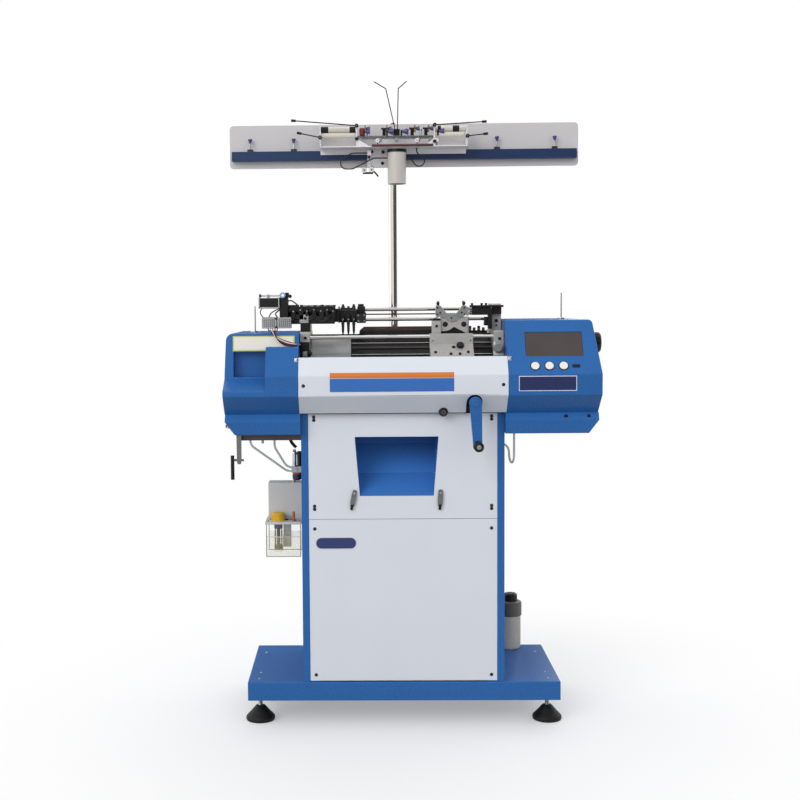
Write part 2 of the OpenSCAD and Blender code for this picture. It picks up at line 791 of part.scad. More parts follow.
module left_cover() color(machine_blue) difference() {
    left_form(0);
    difference() {
        left_form(cover_wall);
        pocket_space(cover_wall);
    }
    intersection() {
        pocket_space(0);
        span([-left_reach, nose_y, recess_low.y], [-cover_split - left_block_w - 1, cover_back, left_top]);
    }
    span([-cover_split - 2 * cover_wall, deck_front - 1, cab_top],
         [-cover_split + 1, deck_back + 1, deck_top + 1]);
    bar_along_z(left_top - 10, left_top + 1, left_spindle_x, spindle_y, spindle_d + 2 * clearance);
}

// Right cover: the slanted console
module right_form(g) {
    e = g > 0 ? 1 : 0;
    intersection() {
        along_x(cover_split, right_reach + 1)
            polygon(rounded([
                [rim_y + 1.4 * g, rim_z - e, 0], [nose_y + g, bevel_z + 0.4 * g, 8],
                [nose_y + g, crease_z, 14],
                [console_y(console_top - g) + g, console_top - g, 8], [cover_back - g, console_top - g, 12],
                [cover_back - g, rim_z - e, 0]
            ]));
        along_y(nose_y - 1, cover_back + 1)
            polygon(rounded([
                [cover_split + g, rim_z - 2, 0], [right_reach - 3 - g, rim_z - 2, 0],
                [right_reach - g, bevel_z, 20],
                [right_reach - g, crease_z, 30], [right_reach - 17 - g, console_top - g, 14],
                [cover_split + g, console_top - g, 4]
            ]));
    }
}
screen_x = cover_split + screen_inset;
screen_z = crease_z + 86;
button_z = crease_z + 23;
button_xs = [for (i = [-1:1]) screen_x - 18 + i * button_pitch];
port_x = screen_x + 60;
module on_console(x, z) translate([x, console_y(z), z]) rotate([90 - console_tilt, 0, 0]) children();
module right_cover() color(machine_blue) difference() {
    right_form(0);
    right_form(cover_wall);
    on_console(screen_x, screen_z)
        span([-screen_w / 2, -screen_h / 2, -12], [screen_w / 2, screen_h / 2, 20]);
    for (x = button_xs)
        on_console(x, button_z) bar_along_z(-12, 12, 0, 0, button_d + 2 * clearance);
    on_console(port_x, button_z) span([-11, -5, -12], [11, 5, 12]);
    span([cover_split - 1, deck_front - 1, cab_top],
         [cover_split + 2 * cover_wall, deck_back + 1, deck_top + 1]);
    bar_along_x(wheel_side - 20, wheel_side + 20, wheel_y, wheel_z, wheel_shaft_d + 2 * clearance);
    bar_along_z(console_top - 10, console_top + 1, right_spindle_x, spindle_y, spindle_d + 2 * clearance);
}

// Screen with its controller case, and the data port beside the buttons
module display_panel() color(plastic_black) {
    on_console(screen_x, screen_z) {
        span([-screen_w / 2 - 5, -screen_h / 2 - 3, -console_wall - 34],
             [screen_w / 2 + 5, screen_h / 2 + 5, -console_wall - 0.1]);
        span([-screen_w / 2 + 0.5, -screen_h / 2 + 0.5, -console_wall - 1],
             [screen_w / 2 - 0.5, screen_h / 2 - 0.5, -1.5]);
    }
    on_console(port_x, button_z) {
        span([-10.5, -4.5, -console_wall - 1], [10.5, 4.5, 1]);
        span([-13, -7, -console_wall - 14], [13, 7, -console_wall - 0.1]);
    }
}

// Three push buttons on the console
module push_button(x) on_console(x, button_z) bar_along_z(-9, button_out, 0, 0, button_d);
module left_button() color(panel_white) push_button(button_xs[0]);
module middle_button() color(panel_white) push_button(button_xs[1]);
module right_button() color(panel_white) push_button(button_xs[2]);

// Pans under the covers
module pan_form(g, reach)
    intersection() {
        along_x(cab_half, reach)
            polygon(rounded([
                [rim_y + g, rim_z + (g > 0 ? 1 : 0), 0], [rim_y - 12 + g, rim_z - 22, 6],
                [rim_y - 5 + g, pan_bottom + g, 4], [deck_back + 5 - g, pan_bottom + g, 4],
                [deck_back + 5 - g, rim_z + (g > 0 ? 1 : 0), 0]
            ]));
        along_y(nose_y, cover_back + 1)
            polygon([
                [cab_half + g, rim_z + 2], [reach - 1 - g, rim_z + 2], [reach - 1 - g, rim_z - 22],
                [reach - 30 - g, pan_bottom + g], [cab_half + g, pan_bottom + g]
            ]);
    }
module pan_shell(reach) difference() {
    pan_form(0, reach);
    pan_form(cover_wall, reach);
    span([cab_half - 1, deck_front - 1, cab_top - 1],
         [cab_half + 2 * cover_wall, deck_back + 1, rim_z + 1]);
}
module left_pan() color(machine_blue) {
    difference() {
        mirror([1, 0, 0]) pan_shell(left_reach);
        span([lever_x - 17, lever_y - 4, pan_bottom - 1],
             [lever_x + 17, lever_y + 4, pan_bottom + cover_wall + 6]);
    }
    along_y(cab_front - 4, cab_front + 151)
        polygon([
            [side_x, pan_bottom], [side_x, pan_bottom - ledge_h], [lever_x + 6, pan_bottom - ledge_h],
            [lever_x - 4, pan_bottom]
        ]);
    span([lever_x - 9, lever_y + 5, pan_bottom + 1], [lever_x + 9, lever_y + 11, lever_z + 9]);
    bar_along_y(lever_y - 4, lever_y + 8, lever_x, lever_z, 8);
}
module right_pan() color(machine_blue) pan_shell(right_reach);

// White middle cover of bent sheet, with an arch for the crank and a notch for the stop button
module middle_cover() color(panel_white) difference() {
    union() {
        along_x(-middle_half, middle_half)
            polygon(
                rounded([
                    [console_y(middle_top) + 14, middle_top, 0], [console_y(middle_top), middle_top, 3],
                    [nose_y, crease_z, 14], [nose_y, bevel_z, 8], [rim_y, rim_z + 1, 0],
                    [rim_y + middle_sheet * 1.4, rim_z + 1, 0],
                    [nose_y + middle_sheet, bevel_z + middle_sheet * 0.4, 6],
                    [nose_y + middle_sheet, crease_z, 12],
                    [console_y(middle_top) + middle_sheet, middle_top - middle_sheet, 0],
                    [console_y(middle_top) + 14, middle_top - middle_sheet, 0]
                ])
            );
        both_sides() along_x(middle_half - middle_sheet, middle_half)
            polygon([
                [console_y(middle_top) + 14, middle_top - 1], [console_y(middle_top) + 1, middle_top - 1],
                [nose_y + 1.5, crease_z], [nose_y + 1.5, bevel_z], [rim_y + 2, rim_z + 1],
                [rim_y + 20, rim_z + 1], [nose_y + 18, bevel_z + 6], [nose_y + 18, crease_z - 4]
            ]);
    }
    along_y(nose_y - 1, rim_y + 5)
        polygon(concat(
            [[crank_x + 23, rim_z - 1], [crank_x + 23, crank_z]],
            [for (i = [1:11]) [crank_x + 23 * cos(i * 15), crank_z + 23 * sin(i * 15)]],
            [[crank_x - 23, crank_z], [crank_x - 23, rim_z - 1]]
        ));
    bar_along_y(nose_y - 1, rim_y + 8, stop_x, stop_z, stop_boss_d + 2);
    for (p = cover_screw_spots)
        bar_along_y(nose_y - 1, nose_y + middle_sheet + 1, p.x, p.y, screw_d + 0.4);
}

// Back of the head between the two blue covers
module rear_cover() color(machine_blue) {
    span([-bed_half - end_block_w, deck_back, rim_z],
         [bed_half + end_block_w, deck_back + 2, cheek_top + 20]);
}

// Upright blocks on the cheeks that hold the rails and rods
module end_block()
    along_x(bed_half, bed_half + end_block_w)
        polygon(rounded([
            [rail_front - 20, cheek_top, 0], [rail_back + 20, cheek_top, 0],
            [rail_back + 20, block_step, 5],
            [rod_upper.x + 32, block_step, 5], [rod_upper.x + 32, rod_upper.y + 15, 5],
            [rod_lower.x - 35, rod_upper.y + 15, 5], [rod_lower.x - 35, block_step, 0],
            [rail_front - 20, block_step, 5]
        ]));
module rods(extra) {
    reach = bed_half + rod_grip;
    for (y = [rail_front, rail_back])
        bar_along_x(-reach, reach, y, rail_z, rail_d + extra);
    bar_along_x(-reach, reach, rod_upper.x, rod_upper.y, rod_d + extra);
    bar_along_x(-reach, reach, rod_lower.x, rod_lower.y, rod_d + extra);
    bar_along_x(-reach, reach, rod_thin.x, rod_thin.y, rod_thin_d + extra);
}
module end_blocks() color(cast_grey) difference() {
    both_sides() end_block();
    rods(2 * running);
}
module guide_rods() color(chrome) rods(0);

// Front needle bed with grooves and two retaining strips
module front_needle_bed() color(plastic_black) difference() {
    along_x(-bed_half, bed_half)
        polygon([
            front_bed(0, 0), front_bed(62, 0), front_bed(62, 3), front_bed(70, 3), front_bed(70, 0),
            front_bed(118, 0), front_bed(118, 3), front_bed(128, 3), front_bed(128, 0),
            front_bed(bed_len, 0), front_bed(bed_len, -bed_t), front_bed(18, -bed_t), front_bed(0, -8)
        ]);
    for (x = [-126:groove_pitch:126])
        along_x(x - 0.8, x + 0.8)
            polygon([front_bed(-2, 1), front_bed(52, 1), front_bed(52, -3), front_bed(-2, -3)]);
}

// Rear needle bed with the raised sinker comb
module rear_needle_bed() color(cast_dark) {
    along_x(-bed_half, bed_half)
        polygon([
            rear_bed(0, 0), rear_bed(bed_len, 0), rear_bed(bed_len, -bed_t), rear_bed(18, -bed_t),
                rear_bed(0, -8)
        ]);
    along_y(ridge_back - 4, ridge_back + 14)
        polygon([[-126, ridge_z - 8], [126, ridge_z - 8], [126, ridge_z + 14], [116, ridge_z + 22],
            [-112, ridge_z + 22], [-126, ridge_z + 10]]);
}

// Front and rear cam boxes of the carriage, each bored for its rail
module cam_carriage() color(cast_grey) difference() {
    union() {
        along_x(carriage_x, carriage_x + carriage_w)
            polygon([front_bed(70, cam_gap), front_bed(186, cam_gap), front_bed(186, cam_gap + cam_t),
                front_bed(70, cam_gap + cam_t)]);
        span([carriage_x, rail_front - 18, rail_z - 24],
             [carriage_x + carriage_w, rail_front + 22, plinth_top]);
        along_x(carriage_x, carriage_x + carriage_w)
            polygon([rear_bed(70, cam_gap), rear_bed(146, cam_gap), rear_bed(146, cam_gap + cam_t),
                rear_bed(70, cam_gap + cam_t)]);
        span([carriage_x, rail_back - 22, rail_z - 24],
             [carriage_x + carriage_w, rail_back + 18, plinth_top]);
    }
    for (y = [rail_front, rail_back])
        bar_along_x(carriage_x - 1, carriage_x + carriage_w + 1, y, rail_z, rail_d + 2 * running);
}

// Bridge over the yarn rods that joins the two cam boxes
module carriage_bridge() color(cast_grey) translate([bridge_mid, 0, 0]) {
    along_y(bridge_front, bridge_front + 8)
        polygon([
            [-55, plinth_top + 35], [-55, bridge_top - 20], [-46, bridge_top], [-32, bridge_top],
            [0, bridge_top - 36],
            [32, bridge_top], [46, bridge_top], [55, bridge_top - 20], [55, plinth_top + 35],
            [30, plinth_top + 42],
            [0, plinth_top + 28], [-30, plinth_top + 42]
        ]);
    for (s = [-1, 1])
        span([s * 45 - 14, bridge_front - 8, plinth_top], [s * 45 + 14, bridge_front + 8, plinth_top + 46]);
    difference() {
        span([-32, bridge_front + 1, plinth_top], [32, bridge_front + 7, plinth_top + 38]);
        for (s = [-1, 1])
            bar_along_y(bridge_front - 1, bridge_front + 9, s * 24, plinth_top + 16, 9);
    }
    for (s = [-1, 1]) {
        span([s * 39 - 7, bridge_front, bridge_top - 10], [s * 39 + 7, rail_back + 16, bridge_top]);
        span([s * 39 - 7, rail_back + 2, plinth_top], [s * 39 + 7, rail_back + 16, bridge_top]);
    }
}

// Yarn carrier with three feeder fingers
module yarn_carrier() color(plastic_black) difference() {
    union() {
        along_x(carrier_x, carrier_x + carrier_w)
            polygon([
                [ridge_mid - 40, rack_low], [ridge_mid - 40, rack_low + 27], [ridge_mid - 19, rack_high],
                [rod_upper.x + 16, rack_high], [rod_upper.x + 16, rod_upper.y - 18],
                [ridge_mid + 12, rack_low]
            ]);
        for (i = [0:2])
            bar_along_z(ridge_z + 5, rack_low + 2, carrier_x + 12 + 14 * i, ridge_mid - 34, 6);
    }
    bar_along_x(carrier_x - 1, carrier_x + carrier_w + 1, rod_upper.x, rod_upper.y, rod_d + 2 * running);
    bar_along_x(carrier_x - 1, carrier_x + carrier_w + 1, rod_lower.x, rod_lower.y, rod_d + 2 * running);
    bar_along_x(carrier_x - 1, carrier_x + carrier_w + 1, rod_thin.x, rod_thin.y, rod_thin_d + 2 * running);
}

// Black feeder rack on the left end block
module feeder_rack() color(plastic_black) {
    difference() {
        span([-352, rack_front, rack_low], [carrier_x - 8, rack_front + 28, rack_high]);
        for (i = [0:4])
            span([-250 + 9 * i, rack_front - 1, rack_low + 20],
                 [-246 + 9 * i, rack_front + 10, rack_high + 1]);
    }
    span([-bed_half - end_block_w, rack_front, block_step], [-bed_half, rack_front + 28, rack_low + 1]);
}

// Solenoid box and yarn sensor in front of and on the feeder rack
module feeder_drive() color(steel_grey) {
    span([-418, rack_front - 38, rack_low - 13], [-330, rack_front - 3, rack_low + 22]);
    span([-352, rack_front - 4, rack_low + 2], [-332, rack_front, rack_low + 20]);
    span([-366, rack_front - 12, rack_high], [-338, rack_front + 24, rack_high + 40]);
    span([-428, rack_front - 22, rack_high - 8], [-366, rack_front + 14, rack_high + 24]);
    bar_along_z(rack_high + 23, rack_high + 32, -424, rack_front - 4, 9);
    bar_along_y(rack_front - 18, rack_front + 12, -360, rack_high + 34, 14);
}

// Chrome post on a foot flange, with the welded block that carries the rail
module yarn_post() color(chrome) {
    bar_along_z(deck_top, post_top, post_x, post_y, post_d);
    span([post_x - 32, post_y - 15, deck_top], [post_x + 32, post_y + 15, deck_top + 9]);
    span([post_x - 26, panel_y + 2, rail_low + 14], [post_x + 26, post_y, rail_low + 60]);
}

// White rail panel with rounded corners
module rail_panel() color(panel_white)
    along_y(panel_y, panel_y + 2)
        polygon(rounded([
            [rail_x - rail_len / 2, rail_low, 12], [rail_x + rail_len / 2, rail_low, 12],
            [rail_x + rail_len / 2, rail_low + rail_h, 12], [rail_x - rail_len / 2, rail_low + rail_h, 12]
        ]));

// Blue channel along the rail panel
module rail_channel() color(machine_blue)
    along_x(rail_x - rail_len / 2 + 8, rail_x + rail_len / 2 - 8)
        polygon([
            [channel_front, channel_low], [channel_front, channel_top], [panel_y, channel_top],
            [panel_y, channel_top - 2],
            [channel_front + 2, channel_top - 2], [channel_front + 2, channel_low + 2],
            [panel_y, channel_low + 2], [panel_y, channel_low]
        ]);

// Four yarn guides on the channel
module guide_posts() color(plastic_black)
    for (x = guide_xs)
        translate([x, channel_front + channel_d / 2, channel_top])
            rotate_extrude()
                polygon([[0, 0], [9, 0], [9, 8], [2.5, 8], [2.5, 27], [6.5, 36], [6.5, 40], [0, 40]]);

// White bracket of the yarn tension units, with its mounting plate and cable block,
// two cream yarn tubes and the arm pins
module tension_bracket() color(panel_white) {
    span([bracket_left, bracket_back - bracket_sheet, channel_top - 13],
         [bracket_right, bracket_back, floor_z + 40]);
    span([plate_left, bracket_back - bracket_sheet, rail_low - 1],
         [plate_left + 65, bracket_back, floor_z]);
    span([plate_left, lamp_y - 6, plug_z - 7], [plate_left + 12, bracket_back - 1, plug_z + 7]);
    span([bracket_left, bracket_front, floor_z],
         [bracket_right, bracket_back - 1, floor_z + bracket_sheet]);
    for (x = [bracket_left, mid_left, mid_right, bracket_right - bracket_sheet])
        span([x, bracket_front, floor_z], [x + bracket_sheet, bracket_back - 1, bracket_top]);
    bar_along_x(bracket_left, mid_left + 1, bar_y, bracket_top - 14, 18);
    bar_along_x(mid_right + 1, bracket_right, bar_y, bracket_top - 14, 18);
    span([mid_left + 1, bar_y - 6, bar_z0], [mid_right + 1, bar_y + 6, bar_z1]);
    for (x = [mid_left, mid_right])
        bar_along_y(arm_near - arm_t - 1, bracket_front + 6, x + bracket_sheet / 2, upper_pin_z, arm_pin_d);
    for (x = [bracket_left, bracket_right - bracket_sheet])
        bar_along_y(arm_far - arm_t - 1, bracket_front + 6, x + bracket_sheet / 2, lower_pin_z, arm_pin_d);
}

// Yarn tension units with discs and set knobs
disc_xs = [-112, -46, 40, 82];
module tension_discs() color(steel_grey)
    for (x = disc_xs) {
        span([x - 5, bar_y - 5, bar_z1], [x + 5, bar_y + 5, bar_z1 + 22]);
        bar_along_x(x - 9, x + 16, bar_y, bar_z1 + 22, 6);
        bar_along_x(x + 5.5, x + 7.5, bar_y, bar_z1 + 22, 24);
        bar_along_x(x + 8.5, x + 10.5, bar_y, bar_z1 + 22, 24);
        translate([x + 12, bar_y, bar_z1 + 22]) rotate([0, 90, 0]) cylinder(h = 11, d1 = 10, d2 = 16);
    }

// Sprung yarn arm: eye, wire and a smooth tip
module yarn_arm(pin_x, pin_z, y, reach, rise, side)
    translate([pin_x, y - arm_t, pin_z]) rotate([0, -side * rise, 0]) {
    difference() {
        bar_along_y(0, arm_t, 0, 0, arm_eye_d);
        bar_along_y(-1, arm_t + 1, 0, 0, arm_pin_d + 2 * running);
    }
    x0 = arm_eye_d / 2 - 1;
    bar_along_x(min(side * x0, side * (reach - 13)),
        max(side * x0, side * (reach - 13)), arm_t / 2, 0, arm_d);
    bar_along_x(min(side * (reach - 14), side * reach),
        max(side * (reach - 14), side * reach), arm_t / 2, 0, 8);
}
module yarn_arm_a() color(plastic_black)
    yarn_arm(mid_left + bracket_sheet / 2, upper_pin_z, arm_near, arm_reach_a, 5, -1);
module yarn_arm_b() color(plastic_black)
    yarn_arm(bracket_left + bracket_sheet / 2, lower_pin_z, arm_far, arm_reach_b, 12, -1);
module yarn_arm_c() color(plastic_black)
    yarn_arm(mid_right + bracket_sheet / 2, upper_pin_z, arm_near, arm_reach_c, 3, 1);
module yarn_arm_d() color(plastic_black)
    yarn_arm(bracket_right - bracket_sheet / 2, lower_pin_z, arm_far, arm_reach_d, 6, 1);

// Two bent guide wires above the rail
module yarn_wires() color(chrome) {
    span([-18, bar_y - 5, bar_z1], [2, bar_y + 5, bar_z1 + 20]);
    wire_low = bar_z1 + 18;
    wire_high = cab_top + 981;
    bar_between([-12, bar_y, wire_low], [-40, bar_y, wire_high], 3);
    translate([-40, bar_y, wire_high]) sphere(d = 3.4);
    bar_between([-40, bar_y, wire_high], [-77, bar_y, wire_high + 22], 3);
    bar_between([-5, bar_y, wire_low], [-2, bar_y, wire_high], 3);
    translate([-2, bar_y, wire_high]) sphere(d = 3.4);
    bar_between([-2, bar_y, wire_high], [24, bar_y, wire_high + 22], 3);
}

// Red signal dome on top of the post
module alarm_lamp() color("#b3241c") translate([post_x, post_y, post_top])
    rotate_extrude() polygon([
        [0, 0], [14, 0], [14, 20], [11, 22], for (i = [0:6]) [11 * cos(i * 15), 30 + 11 * sin(i * 15)]
    ]);

// White work lamp under the bracket
module work_lamp() color(panel_white) difference() {
    bar_along_z(floor_z - lamp_len, floor_z, lamp_x, lamp_y, lamp_d);
    bar_along_z(floor_z - lamp_len - 1, floor_z - lamp_len + 14, lamp_x, lamp_y, lamp_d - 6);
}

// Thin spindles for yarn cones, each with a seat washer on its cover
module cone_spindle(x, z) {
    bar_along_z(z - cover_wall - 6, z + spindle_h, x, spindle_y, spindle_d);
    bar_along_z(z, z + 4, x, spindle_y, 26);
}
module cone_spindles() color(chrome) {
    cone_spindle(left_spindle_x, left_top);
    cone_spindle(right_spindle_x, console_top);
}

// Clear oil tank under its pump
module pump_tank() color("#d8d6c8") difference() {
    span([tank_left, tank_front, tank_top - tank_h], [tank_right, tank_back, tank_top]);
    span([tank_left + tank_wall, tank_front + tank_wall, tank_top - tank_h + tank_wall],
         [tank_right - tank_wall, tank_back - tank_wall, tank_top + 1]);
}

// Pump housing with the tank's lid and the wall flange
module pump_housing() color("#c6c8cc") difference() {
    union() {
        span([tank_left - 2, tank_front - 2, tank_top], [tank_right + 2, tank_back + 2, lid_top]);
        span([tank_left + 5, tank_front + 60, lid_top - 1], [tank_right + 1, tank_back, lid_top + 112]);
        span([tank_right, tank_front + 62, tank_top + 2], [side_x, tank_back - 2, lid_top + 108]);
    }
    bar_along_z(tank_top - 1, lid_top + 1, cap_x, cap_y, strainer_d + 2 * running);
}

// Yellow oil cap with the strainer that hangs in the tank
module oil_cap() color("#d9b21f") {
    bar_along_z(lid_top, lid_top + cap_h, cap_x, cap_y, cap_d);
    bar_along_z(tank_top - 82, lid_top + 1, cap_x, cap_y, strainer_d);
}

// Air valve on the cabinet's side: block, two upright cylinders and a set knob below
module air_valve() color(steel_grey) {
    span([side_x - 28, valve_y - 15, valve_z], [side_x, valve_y + 15, valve_z + 21]);
    for (x = [side_x - 21, side_x - 7])
        bar_along_z(valve_z + 20, valve_z + 63, x, valve_y, 13.4);
    bar_along_z(valve_z - 18, valve_z + 1, side_x - 14, valve_y, 27);
}

// Hanging stop lever with a round grip
module stop_lever() color(steel_grey) {
    low = lever_z - lever_len;
    difference() {
        along_y(lever_y - 3, lever_y + 3)
            polygon(rounded([
                [lever_x - 8, lever_z + 9, 4], [lever_x + 8, lever_z + 9, 4],
                [lever_x + 6, low, 4], [lever_x - 6, low, 4]
            ]));
        bar_along_y(lever_y - 5, lever_y + 5, lever_x, lever_z, 8 + 2 * running);
    }
    bar_along_x(lever_x - 22, lever_x + 14, lever_y, low + 12, 7);
    bar_along_z(low - 46, low + 26, lever_x - 20, lever_y, 11);
}

// Collection bottle on the tray behind the cabinet
module collection_bottle() color("#c9cccf") translate([bottle_x, bottle_y, base_top])
    rotate_extrude() polygon([
        [0, 0], [bottle_d / 2 - 6, 0], [bottle_d / 2, 8], [bottle_d / 2, bottle_h - 72],
        [bottle_d / 2 + 4, bottle_h - 72], [bottle_d / 2 + 4, bottle_h - 24],
        [bottle_d / 2 - 10, bottle_h - 24],
        [bottle_d / 2 - 12, bottle_h - 3], [bottle_d / 2 - 15, bottle_h], [0, bottle_h]
    ]);

// Drive shaft with its pulley
module drive_shaft() color(steel_grey) {
    bar_along_y(crank_front + 3, bearing_back + 28, crank_x, crank_z, shaft_d);
    bar_along_y(pulley_y, pulley_y + pulley_t, crank_x, crank_z, pulley_d);
}

// Hand crank with its boss and grip pin
module hand_crank() color(machine_blue) difference() {
    union() {
        along_y(crank_front, crank_back) polygon(taper([crank_x, crank_z], 18, [grip_x, grip_z], 13));
        bar_along_y(crank_back - 1, nose_y + 26, crank_x, crank_z, 33);
        bar_along_y(grip_front + 4, crank_front, grip_x, grip_z, grip_pin_d);
    }
    bar_along_y(crank_front + 2.9, nose_y + 27, crank_x, crank_z, shaft_d + 2 * running);
}
module crank_grip() color(plastic_black) translate([grip_x, crank_front - 1, grip_z]) rotate([90, 0, 0])
    rotate_extrude() polygon([
        [grip_pin_d / 2 + running, 0], [grip_d / 2 - 3, 0], [grip_d / 2, 5],
        [grip_d / 2 - 2, grip_len * 0.5],
        [grip_d / 2, grip_len - 7], [grip_d / 2 - 4, grip_len - 1], [grip_pin_d / 2 + running, grip_len - 1]
    ]);

// Motor on its pedestal, with the pulley that turns the belt
module drive_motor() color(cast_dark) difference() {
    union() {
        bar_along_y(motor_front, motor_back, crank_x, motor_z, motor_d);
        span([crank_x - 40, motor_front + 15, base_top],
             [crank_x + 40, motor_back - 15, motor_z - motor_d / 2 + 12]);
    }
    bar_along_y(motor_back - 40, motor_back + 1, crank_x, motor_z, motor_shaft_d + 2 * running);
}
module motor_pulley() color(steel_grey) {
    bar_along_y(motor_back - 38, pulley_y + 1, crank_x, motor_z, motor_shaft_d);
    bar_along_y(pulley_y, pulley_y + pulley_t, crank_x, motor_z, motor_pulley_d);
}

// Belt round both pulleys
module drive_belt() color(rubber_black) difference() {
    along_y(pulley_y + 3, pulley_y + pulley_t - 3)
        polygon(taper([crank_x, crank_z], pulley_d / 2 + belt_gap + belt_t, [crank_x, motor_z],
            motor_pulley_d / 2 + belt_gap + belt_t));
    along_y(pulley_y + 2, pulley_y + pulley_t - 2)
        polygon(taper([crank_x, crank_z], pulley_d / 2 + belt_gap, [crank_x, motor_z],
            motor_pulley_d / 2 + belt_gap));
}

// Side hand wheel on the right cover
module hand_wheel() color(plastic_black) {
    translate([wheel_in, wheel_y, wheel_z]) rotate([0, 90, 0])
        rotate_extrude() polygon([
            [0, 0], [wheel_d / 2 - 3, 0], [wheel_d / 2, 4], [wheel_d / 2, wheel_t - 7],
            [wheel_d / 2 - 6, wheel_t],
            [0, wheel_t]
        ]);
    bar_along_x(wheel_side - 16, wheel_in + 1, wheel_y, wheel_z, wheel_shaft_d);
}

// Free hoses of the oil and air lines, and the work lamp's cables
module oil_hoses() color("#cfd2d0") {
    tube(bent(hose_long, hose_bend, 5), hose_d);
    tube(bent(hose_short, hose_bend, 5), hose_d);
    tube(bent(hose_loop, hose_bend, 4), hose_d, [1, 1, 0]);
    tube(bent(lamp_cable, cable_bend, 2), cable_d);
    tube(bent(sensor_cable, cable_bend, 2), cable_d);
}

in_frame() base_tray();
in_frame() levelling_feet();
in_frame() left_side_panel();
in_frame() right_side_panel();
in_frame() rear_panel();
in_frame() upper_front_panel();
in_frame() lower_front_panel();
in_frame() glove_chute();
in_frame() panel_screws();
in_frame() head_frame();
in_frame() left_cover();
in_frame() right_cover();
in_frame() left_pan();
in_frame() right_pan();
in_frame() middle_cover();
in_frame() rear_cover();
in_frame() display_panel();
in_frame() end_blocks();
in_frame() guide_rods();
in_frame() front_needle_bed();
in_frame() rear_needle_bed();
in_frame() feeder_rack();
in_frame() feeder_drive();
in_frame() yarn_post();
in_frame() rail_panel();
in_frame() rail_channel();
in_frame() guide_posts();
in_frame() tension_bracket();
in_frame() tension_discs();
in_frame() yarn_wires();
in_frame() alarm_lamp();
in_frame() work_lamp();
in_frame() cone_spindles();
in_frame() pump_tank();
in_frame() pump_housing();
in_frame() air_valve();
in_frame() collection_bottle();
in_frame() drive_motor();
in_frame() drive_belt();
in_frame() oil_hoses();
in_frame() cam_carriage();
in_frame() carriage_bridge();
in_frame() yarn_carrier();
in_frame() drive_shaft();
in_frame() hand_crank();
in_frame() crank_grip();
in_frame() motor_pulley();
in_frame() hand_wheel();
in_frame() left_button();
in_frame() middle_button();
in_frame() right_button();
in_frame() stop_button();
in_frame() left_latch();
in_frame() right_latch();
in_frame() stop_lever();
in_frame() oil_cap();
in_frame() yarn_arm_a();
in_frame() yarn_arm_b();
in_frame() yarn_arm_c();
in_frame() yarn_arm_d();
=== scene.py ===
import json
import math
from contextlib import contextmanager
from functools import lru_cache, partial

import bpy
from bpy.props import FloatProperty, FloatVectorProperty, IntProperty, PointerProperty
from mathutils import Matrix, Vector


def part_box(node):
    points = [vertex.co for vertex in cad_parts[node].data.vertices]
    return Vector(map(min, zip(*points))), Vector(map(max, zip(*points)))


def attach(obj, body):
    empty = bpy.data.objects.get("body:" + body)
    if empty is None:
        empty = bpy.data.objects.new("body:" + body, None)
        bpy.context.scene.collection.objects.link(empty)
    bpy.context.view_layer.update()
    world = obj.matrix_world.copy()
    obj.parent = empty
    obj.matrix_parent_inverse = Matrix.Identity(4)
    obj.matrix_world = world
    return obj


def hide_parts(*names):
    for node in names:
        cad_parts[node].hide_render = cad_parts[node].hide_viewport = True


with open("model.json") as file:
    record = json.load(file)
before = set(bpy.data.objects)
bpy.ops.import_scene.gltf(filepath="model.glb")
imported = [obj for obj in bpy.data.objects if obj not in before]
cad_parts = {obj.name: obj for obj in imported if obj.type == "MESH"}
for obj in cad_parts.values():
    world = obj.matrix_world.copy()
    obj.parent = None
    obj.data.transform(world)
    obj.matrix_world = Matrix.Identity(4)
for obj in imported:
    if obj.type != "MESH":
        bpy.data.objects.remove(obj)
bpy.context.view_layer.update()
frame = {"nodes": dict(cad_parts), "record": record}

bl_info = {
    "name": "Glove knitting machine",
    "version": (1, 0, 0),
    "blender": (4, 5, 0),
    "location": "3D View > Sidebar > Knitting",
    "description": "Finishes and fine detail of a flat-bed glove knitting machine",
    "category": "Object",
}

# The machine's own frame has its origin on the floor under the middle of the base tray.
TRAY_LOW, TRAY_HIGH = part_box("base_tray")
MIDDLE = Vector(((TRAY_LOW.x + TRAY_HIGH.x) / 2, (TRAY_LOW.y + TRAY_HIGH.y) / 2, 0))
BODY_OF = {
    node: body
    for body, nodes in frame["record"]["behaviour"]["bodies"].items()
    for node in nodes
}
PIVOTS = {joint["name"]: joint["pos_m"] for joint in frame["record"]["behaviour"]["joints"] if "pos_m" in joint}


def at(x, y, z):
    """A point of the machine in millimetres, as a point of the frame in metres."""
    return MIDDLE + Vector((x, y, z)) / 1000


def span_of(node):
    """Lowest and highest corner of a node, in the machine's millimetres."""
    low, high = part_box(node)
    return (low - MIDDLE) * 1000, (high - MIDDLE) * 1000


def spot_on(node, x=0.5, y=0.5, z=0.5):
    """A point of a node's box in the machine's millimetres, by shares of its width, depth and height."""
    low, high = span_of(node)
    return Vector([near + share * (far - near) for near, far, share in zip(low, high, (x, y, z))])


def front_of(node):
    """Depth y of a node's front, in the machine's millimetres."""
    return span_of(node)[0].y


def top_of(node):
    """Height z of a node's top, in the machine's millimetres."""
    return span_of(node)[1].z


def pivot_of(joint):
    """A joint's place, in the machine's millimetres."""
    return (Vector(PIVOTS[joint]) - MIDDLE) * 1000


def linear(code):
    """An sRGB hex colour as linear red, green and blue."""
    parts = [int(code[i:i + 2], 16) / 255 for i in (1, 3, 5)]
    return tuple(c / 12.92 if c <= 0.04045 else ((c + 0.055) / 1.055) ** 2.4 for c in parts)


def colour_property(name, description, code):
    """A colour setting whose default is an sRGB hex code."""
    return FloatVectorProperty(
        name=name, description=description, subtype="COLOR", size=3, min=0, max=1, default=linear(code)
    )


